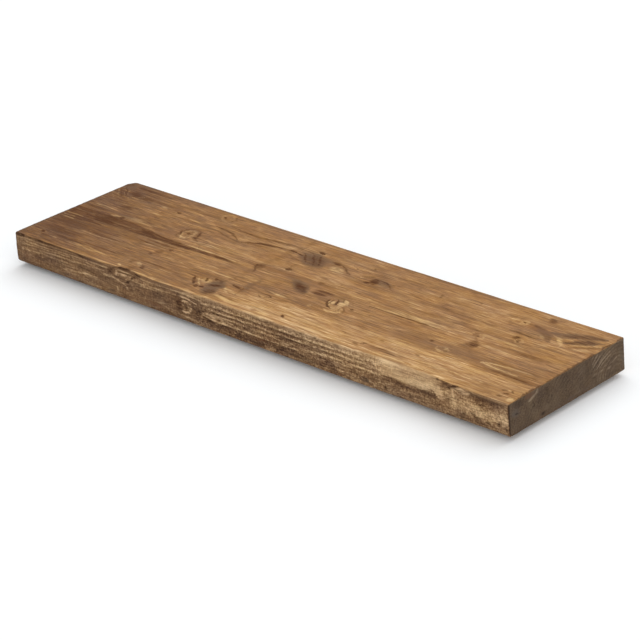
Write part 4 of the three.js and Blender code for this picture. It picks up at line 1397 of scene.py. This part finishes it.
def plate_piece(side):
    """A punched plate with softened edges and two countersunk holes."""
    width, thick, height = PLATE_HIGH - PLATE_LOW
    edges = [(0.0, PLATE_EASE), (0.1, 0.12), (PLATE_EASE, 0.0)]
    edges += [(thick - depth, inward) for depth, inward in edges[::-1]]
    outlines = []
    for depth, inward in edges:
        shape = rounded_outline(width - 2 * inward, height - 2 * inward, PLATE_CORNER - inward, 10)
        outlines.append((-depth, shape))
    plate = prism(f"wall_plate_{side}", outlines)
    front = -thick
    past = front - CUT_OVERRUN
    screw_x = (SCREW_LOW[0] + SCREW_HIGH[0]) / 2
    countersink = [
        (0.0, CUT_OVERRUN),
        (SCREW_HOLE, CUT_OVERRUN),
        (SCREW_HOLE, front + (CONE_RADIUS - SCREW_HOLE)),
        (CONE_RADIUS, front),
        (CONE_RADIUS + CONE_EASE, front - 0.1),
        (CONE_RADIUS + CONE_EASE, past),
        (0.0, past),
    ]
    for place in (-screw_x, screw_x):
        cutter = turned("countersink", countersink, HOLE_SEGMENTS)
        combine(plate, moved(cutter, place), "DIFFERENCE")
    spigot = [(0.0, CUT_OVERRUN), (SPIGOT_HOLE, CUT_OVERRUN), (SPIGOT_HOLE, past), (0.0, past)]
    combine(plate, turned("spigot_hole", spigot, HOLE_SEGMENTS), "DIFFERENCE")
    return moved(plate, support_centre(side))


def rod_piece(side):
    """A drawn rod with a turned root, a rounded tip and a rippled weld at the plate."""
    seat = PLATE_LOW[1] - FIT_GAP
    profile = [(0.0, 0.0), (ROOT_RADIUS - ROOT_EASE, 0.0), (ROOT_RADIUS, -ROOT_EASE), (ROOT_RADIUS, seat)]
    for sine, cosine in quarter(8):
        profile.append((ROD_RADIUS + WELD_LEG * (1 - sine), seat - WELD_LEG * (1 - cosine)))
    for y in np.linspace(seat - WELD_LEG - 4, ROD_TIP + TIP_ROUND, 12):
        profile.append((ROD_RADIUS, y))
    for sine, cosine in quarter(4)[1:]:
        profile.append((ROD_RADIUS - TIP_ROUND * (1 - cosine), ROD_TIP + TIP_ROUND * (1 - sine)))
    profile.append((0.0, ROD_TIP))
    rod = turned(f"support_rod_{side}_steel", profile, ROD_SEGMENTS)
    points, _ = points_of(rod.data)
    x, y, z = points.T
    bead = (y < seat - 0.05) & (y > seat - WELD_LEG) & (np.hypot(x, z) > ROD_RADIUS + 0.05)
    ripple = 0.5 + 0.5 * np.sin(WELD_RIPPLES * np.arctan2(z, x) + 1.2 * (y - seat))
    points[:, (0, 2)] *= np.where(bead, 1.0 - RIPPLE_DEPTH * ripple, 1.0)[:, None]
    set_points(rod.data, points)
    return moved(rod, support_centre(side))


def thread_radius(limit, y, start, turn):
    """Radius of the thread at a height and a share of a turn, shallower where it starts."""
    phase = (y / THREAD_PITCH - turn) % 1.0
    crest = max(0.0, 1.0 - abs(phase - 0.5) / 0.28)
    fade = min(1.0, (y - start) / 2.0)
    depth = (SHANK_RADIUS - CORE_RADIUS) * (limit / SHANK_RADIUS)
    return limit - depth * (1.0 - crest) * (0.35 + 0.65 * fade)


def screw_rings(head, point):
    """Rings of radii with their heights, from the head down to the point."""
    under = head + HEAD_RADIUS - SHANK_RADIUS
    start = under + 1.9
    plain = [
        (HEAD_RADIUS - 0.15, head),
        (HEAD_RADIUS, head + 0.12),
        (HEAD_RADIUS, head + 0.4),
        (SHANK_RADIUS + 0.25, under + 0.15),
        (SHANK_RADIUS, start - 1.0),
    ]
    rings = [([radius] * SCREW_SEGMENTS, y) for radius, y in plain]
    for y in np.arange(start, point - 0.1, THREAD_PITCH / THREAD_STEPS):
        limit = SHANK_RADIUS * min(1.0, max(0.08, (point - y) / POINT_LENGTH))
        ring = [thread_radius(limit, y, start, i / SCREW_SEGMENTS) for i in range(SCREW_SEGMENTS)]
        rings.append((ring, y))
    return rings


def screw_piece(node):
    """A countersunk screw with a cross recess and a rolled thread that runs out to a point."""
    low, high = box_mm(node)
    head, point = low[1], high[1]
    rings = screw_rings(head, point)
    circle = circle_points(SCREW_SEGMENTS)
    points = [(radius * c, y, radius * s) for ring, y in rings for radius, (c, s) in zip(ring, circle)]
    faces = []
    for ring in range(len(rings) - 1):
        faces += ring_quads(ring * SCREW_SEGMENTS, (ring + 1) * SCREW_SEGMENTS, SCREW_SEGMENTS)
    faces += closing_fans(points, len(rings), SCREW_SEGMENTS, head, point)
    screw = object_from(f"{node}_threaded", mesh_from(node, points, faces))
    wide = rectangle(RECESS_ARM, RECESS_HALF_WIDTH)
    narrow = rectangle(0.45 * RECESS_ARM, 0.7 * RECESS_HALF_WIDTH)
    for turn in (math.pi / 4, 3 * math.pi / 4):
        cutter = prism("recess", [(head - 1.0, wide), (head, wide), (head + RECESS_DEPTH, narrow)])
        cutter.data.transform(Matrix.Rotation(turn, 4, "Y"))
        combine(screw, cutter, "DIFFERENCE")
    return moved(screw, (low[0] + high[0]) / 2)


def plug_piece(node):
    """A barbed sleeve, split lengthwise from its far end."""
    low, high = box_mm(node)
    mouth, end = low[1], high[1]
    outside = (high[2] - low[2]) / 2
    waist = outside - BARB_DEPTH
    profile = [(outside - 0.15, mouth), (outside, mouth + 0.15)]
    for y in np.arange(mouth + BARB_PITCH, end - 2.0, BARB_PITCH):
        profile += [(outside, y), (waist, y + 0.06), (waist, y + 0.7)]
    profile += [(waist, end - 0.5), (outside - 0.55, end)]
    profile += [(PLUG_BORE, end), (PLUG_BORE, mouth + 0.3), (PLUG_BORE + 0.2, mouth)]
    plug = turned(f"{node}_barbed", profile, PLUG_SEGMENTS)
    slit = rectangle(SLIT_HALF_WIDTH, 2 * outside)
    slit_ends = [(end - SLIT_LENGTH, slit), (end + CUT_OVERRUN, slit)]
    combine(plug, prism("slit", slit_ends), "DIFFERENCE")
    return moved(plug, (low[0] + high[0]) / 2)


def settle(piece, material, body, node):
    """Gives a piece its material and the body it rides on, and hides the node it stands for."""
    piece.data.materials.clear()
    piece.data.materials.append(material)
    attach(piece, body)
    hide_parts(node)


def add_camera():
    """A camera that looks at the board from the photograph's angle."""
    azimuth, elevation, roll = map(math.radians, (CAMERA_AZIMUTH, CAMERA_ELEVATION, CAMERA_ROLL))
    level = math.cos(elevation)
    back = Vector((math.sin(azimuth) * level, -math.cos(azimuth) * level, math.sin(elevation)))
    right = (-back).cross(Vector((0, 0, 1))).normalized()
    up = right.cross(-back)
    rolled_right = right * math.cos(roll) + up * math.sin(roll)
    rolled_up = up * math.cos(roll) - right * math.sin(roll)
    aim = Vector((0.0, FRONT / 2, 0.0))
    place = aim + back * CAMERA_DISTANCE + rolled_right * CAMERA_RIGHT + rolled_up * CAMERA_UP
    camera = bpy.data.objects.new("camera", bpy.data.cameras.new("camera"))
    camera.data.sensor_width = SENSOR_WIDTH
    camera.data.lens = FOCAL_PIXELS * SENSOR_WIDTH / PICTURE_PIXELS
    camera.data.clip_start = 0.05
    camera.data.clip_end = 50.0
    matrix = Matrix((rolled_right, rolled_up, back)).transposed().to_4x4()
    matrix.translation = place * MM
    camera.matrix_world = matrix
    bpy.context.scene.collection.objects.link(camera)
    bpy.context.scene.camera = camera


# Light
FLOOR_DROP = 7.0
FLOOR_REACH = 4000.0
FLOOR_GLOW = 0.045
FLOOR_WHITE = 0.87
WORLD_LIGHT = 0.42


def seen_directly(s):
    """1 where the camera sees a thing, straight or in gloss or glass."""
    path = s.node("ShaderNodeLightPath").outputs
    seen = s.math("MAXIMUM", path["Is Camera Ray"], path["Is Glossy Ray"])
    return s.math("MAXIMUM", seen, path["Is Transmission Ray"])


def add_world():
    """A white world that lights less than it shows."""
    world = bpy.data.worlds.new("studio")
    bpy.context.scene.world = world
    s = Shader(world)
    strength = s.blend(seen_directly(s), WORLD_LIGHT, 1.0)
    glow = s.node("ShaderNodeBackground", {"Color": (1, 1, 1, 1), "Strength": strength})
    s.node("ShaderNodeOutputWorld", {"Surface": glow.outputs[0]})


def add_floor():
    """A white floor under the board, clear from below."""
    s = material_shader("floor_white")
    seen = seen_directly(s)
    strength = s.blend(seen, 0.0, FLOOR_GLOW)
    glow = s.node("ShaderNodeEmission", {"Color": (1, 1, 1, 1), "Strength": strength})
    shown = (FLOOR_WHITE - 0.015, FLOOR_WHITE, FLOOR_WHITE + 0.01, 1)
    lit = s.node("ShaderNodeBsdfDiffuse", {"Color": s.mix(seen, (0.5, 0.49, 0.48, 1), shown)})
    both = s.node("ShaderNodeAddShader", {0: glow.outputs[0], 1: lit.outputs[0]})
    below = s.node("ShaderNodeNewGeometry").outputs["Backfacing"]
    clear = s.node("ShaderNodeBsdfTransparent")
    choice = s.node("ShaderNodeMixShader", {0: below, 1: both.outputs[0], 2: clear.outputs[0]})
    s.node("ShaderNodeOutputMaterial", {"Surface": choice.outputs[0]})
    level = -HALF_THICKNESS - FLOOR_DROP
    corners = [(x * MM, y * MM, level * MM) for x, y in rectangle(FLOOR_REACH, FLOOR_REACH)]
    mesh = bpy.data.meshes.new("floor")
    mesh.from_pydata(corners, [], [(0, 1, 2, 3)])
    floor = object_from("floor", mesh)
    floor.data.materials.append(s.owner)


def add_sun(name, direction, strength, spread):
    """A lamp far away, whose spread in degrees softens its shadows."""
    lamp = bpy.data.lights.new(name, "SUN")
    lamp.energy = strength * math.pi
    lamp.angle = math.radians(spread)
    sun = bpy.data.objects.new(name, lamp)
    sun.rotation_mode = "QUATERNION"
    sun.rotation_quaternion = Vector(direction).to_track_quat("-Z", "Y")
    bpy.context.scene.collection.objects.link(sun)


def build():
    add_camera()
    add_world()
    add_floor()
    add_sun("key", (0.2, -0.55, -1.0), 0.58, 70)
    add_sun("fill", (-0.35, 1.0, -0.35), 0.28, 80)
    add_sun("rim", (-0.9, 0.3, -0.6), 0.24, 60)

    board = board_piece()
    settle(board, wood_material(), "shelf", "shelf_board")
    plate, rod = plate_material(), rod_material()
    screw, plug = screw_material(), plug_material()
    for side in SIDES:
        pieces = [
            (plate_piece(side), plate, "plate_steel", f"support_plate_{side}"),
            (rod_piece(side), rod, "rod_steel", f"support_rod_{side}"),
        ]
        for place in ("a", "b"):
            node = f"wall_screw_{side}_{place}"
            pieces.append((screw_piece(node), screw, "screw_zinc", node))
            node = f"wall_plug_{side}_{place}"
            pieces.append((plug_piece(node), plug, "plug_nylon", node))
        for piece, material, slot, node in pieces:
            smooth(piece, METAL_SHARP_ANGLE)
            settle(piece, material, "wall_supports", node)


bpy.context.scene.view_settings.view_transform = "Standard"
build()
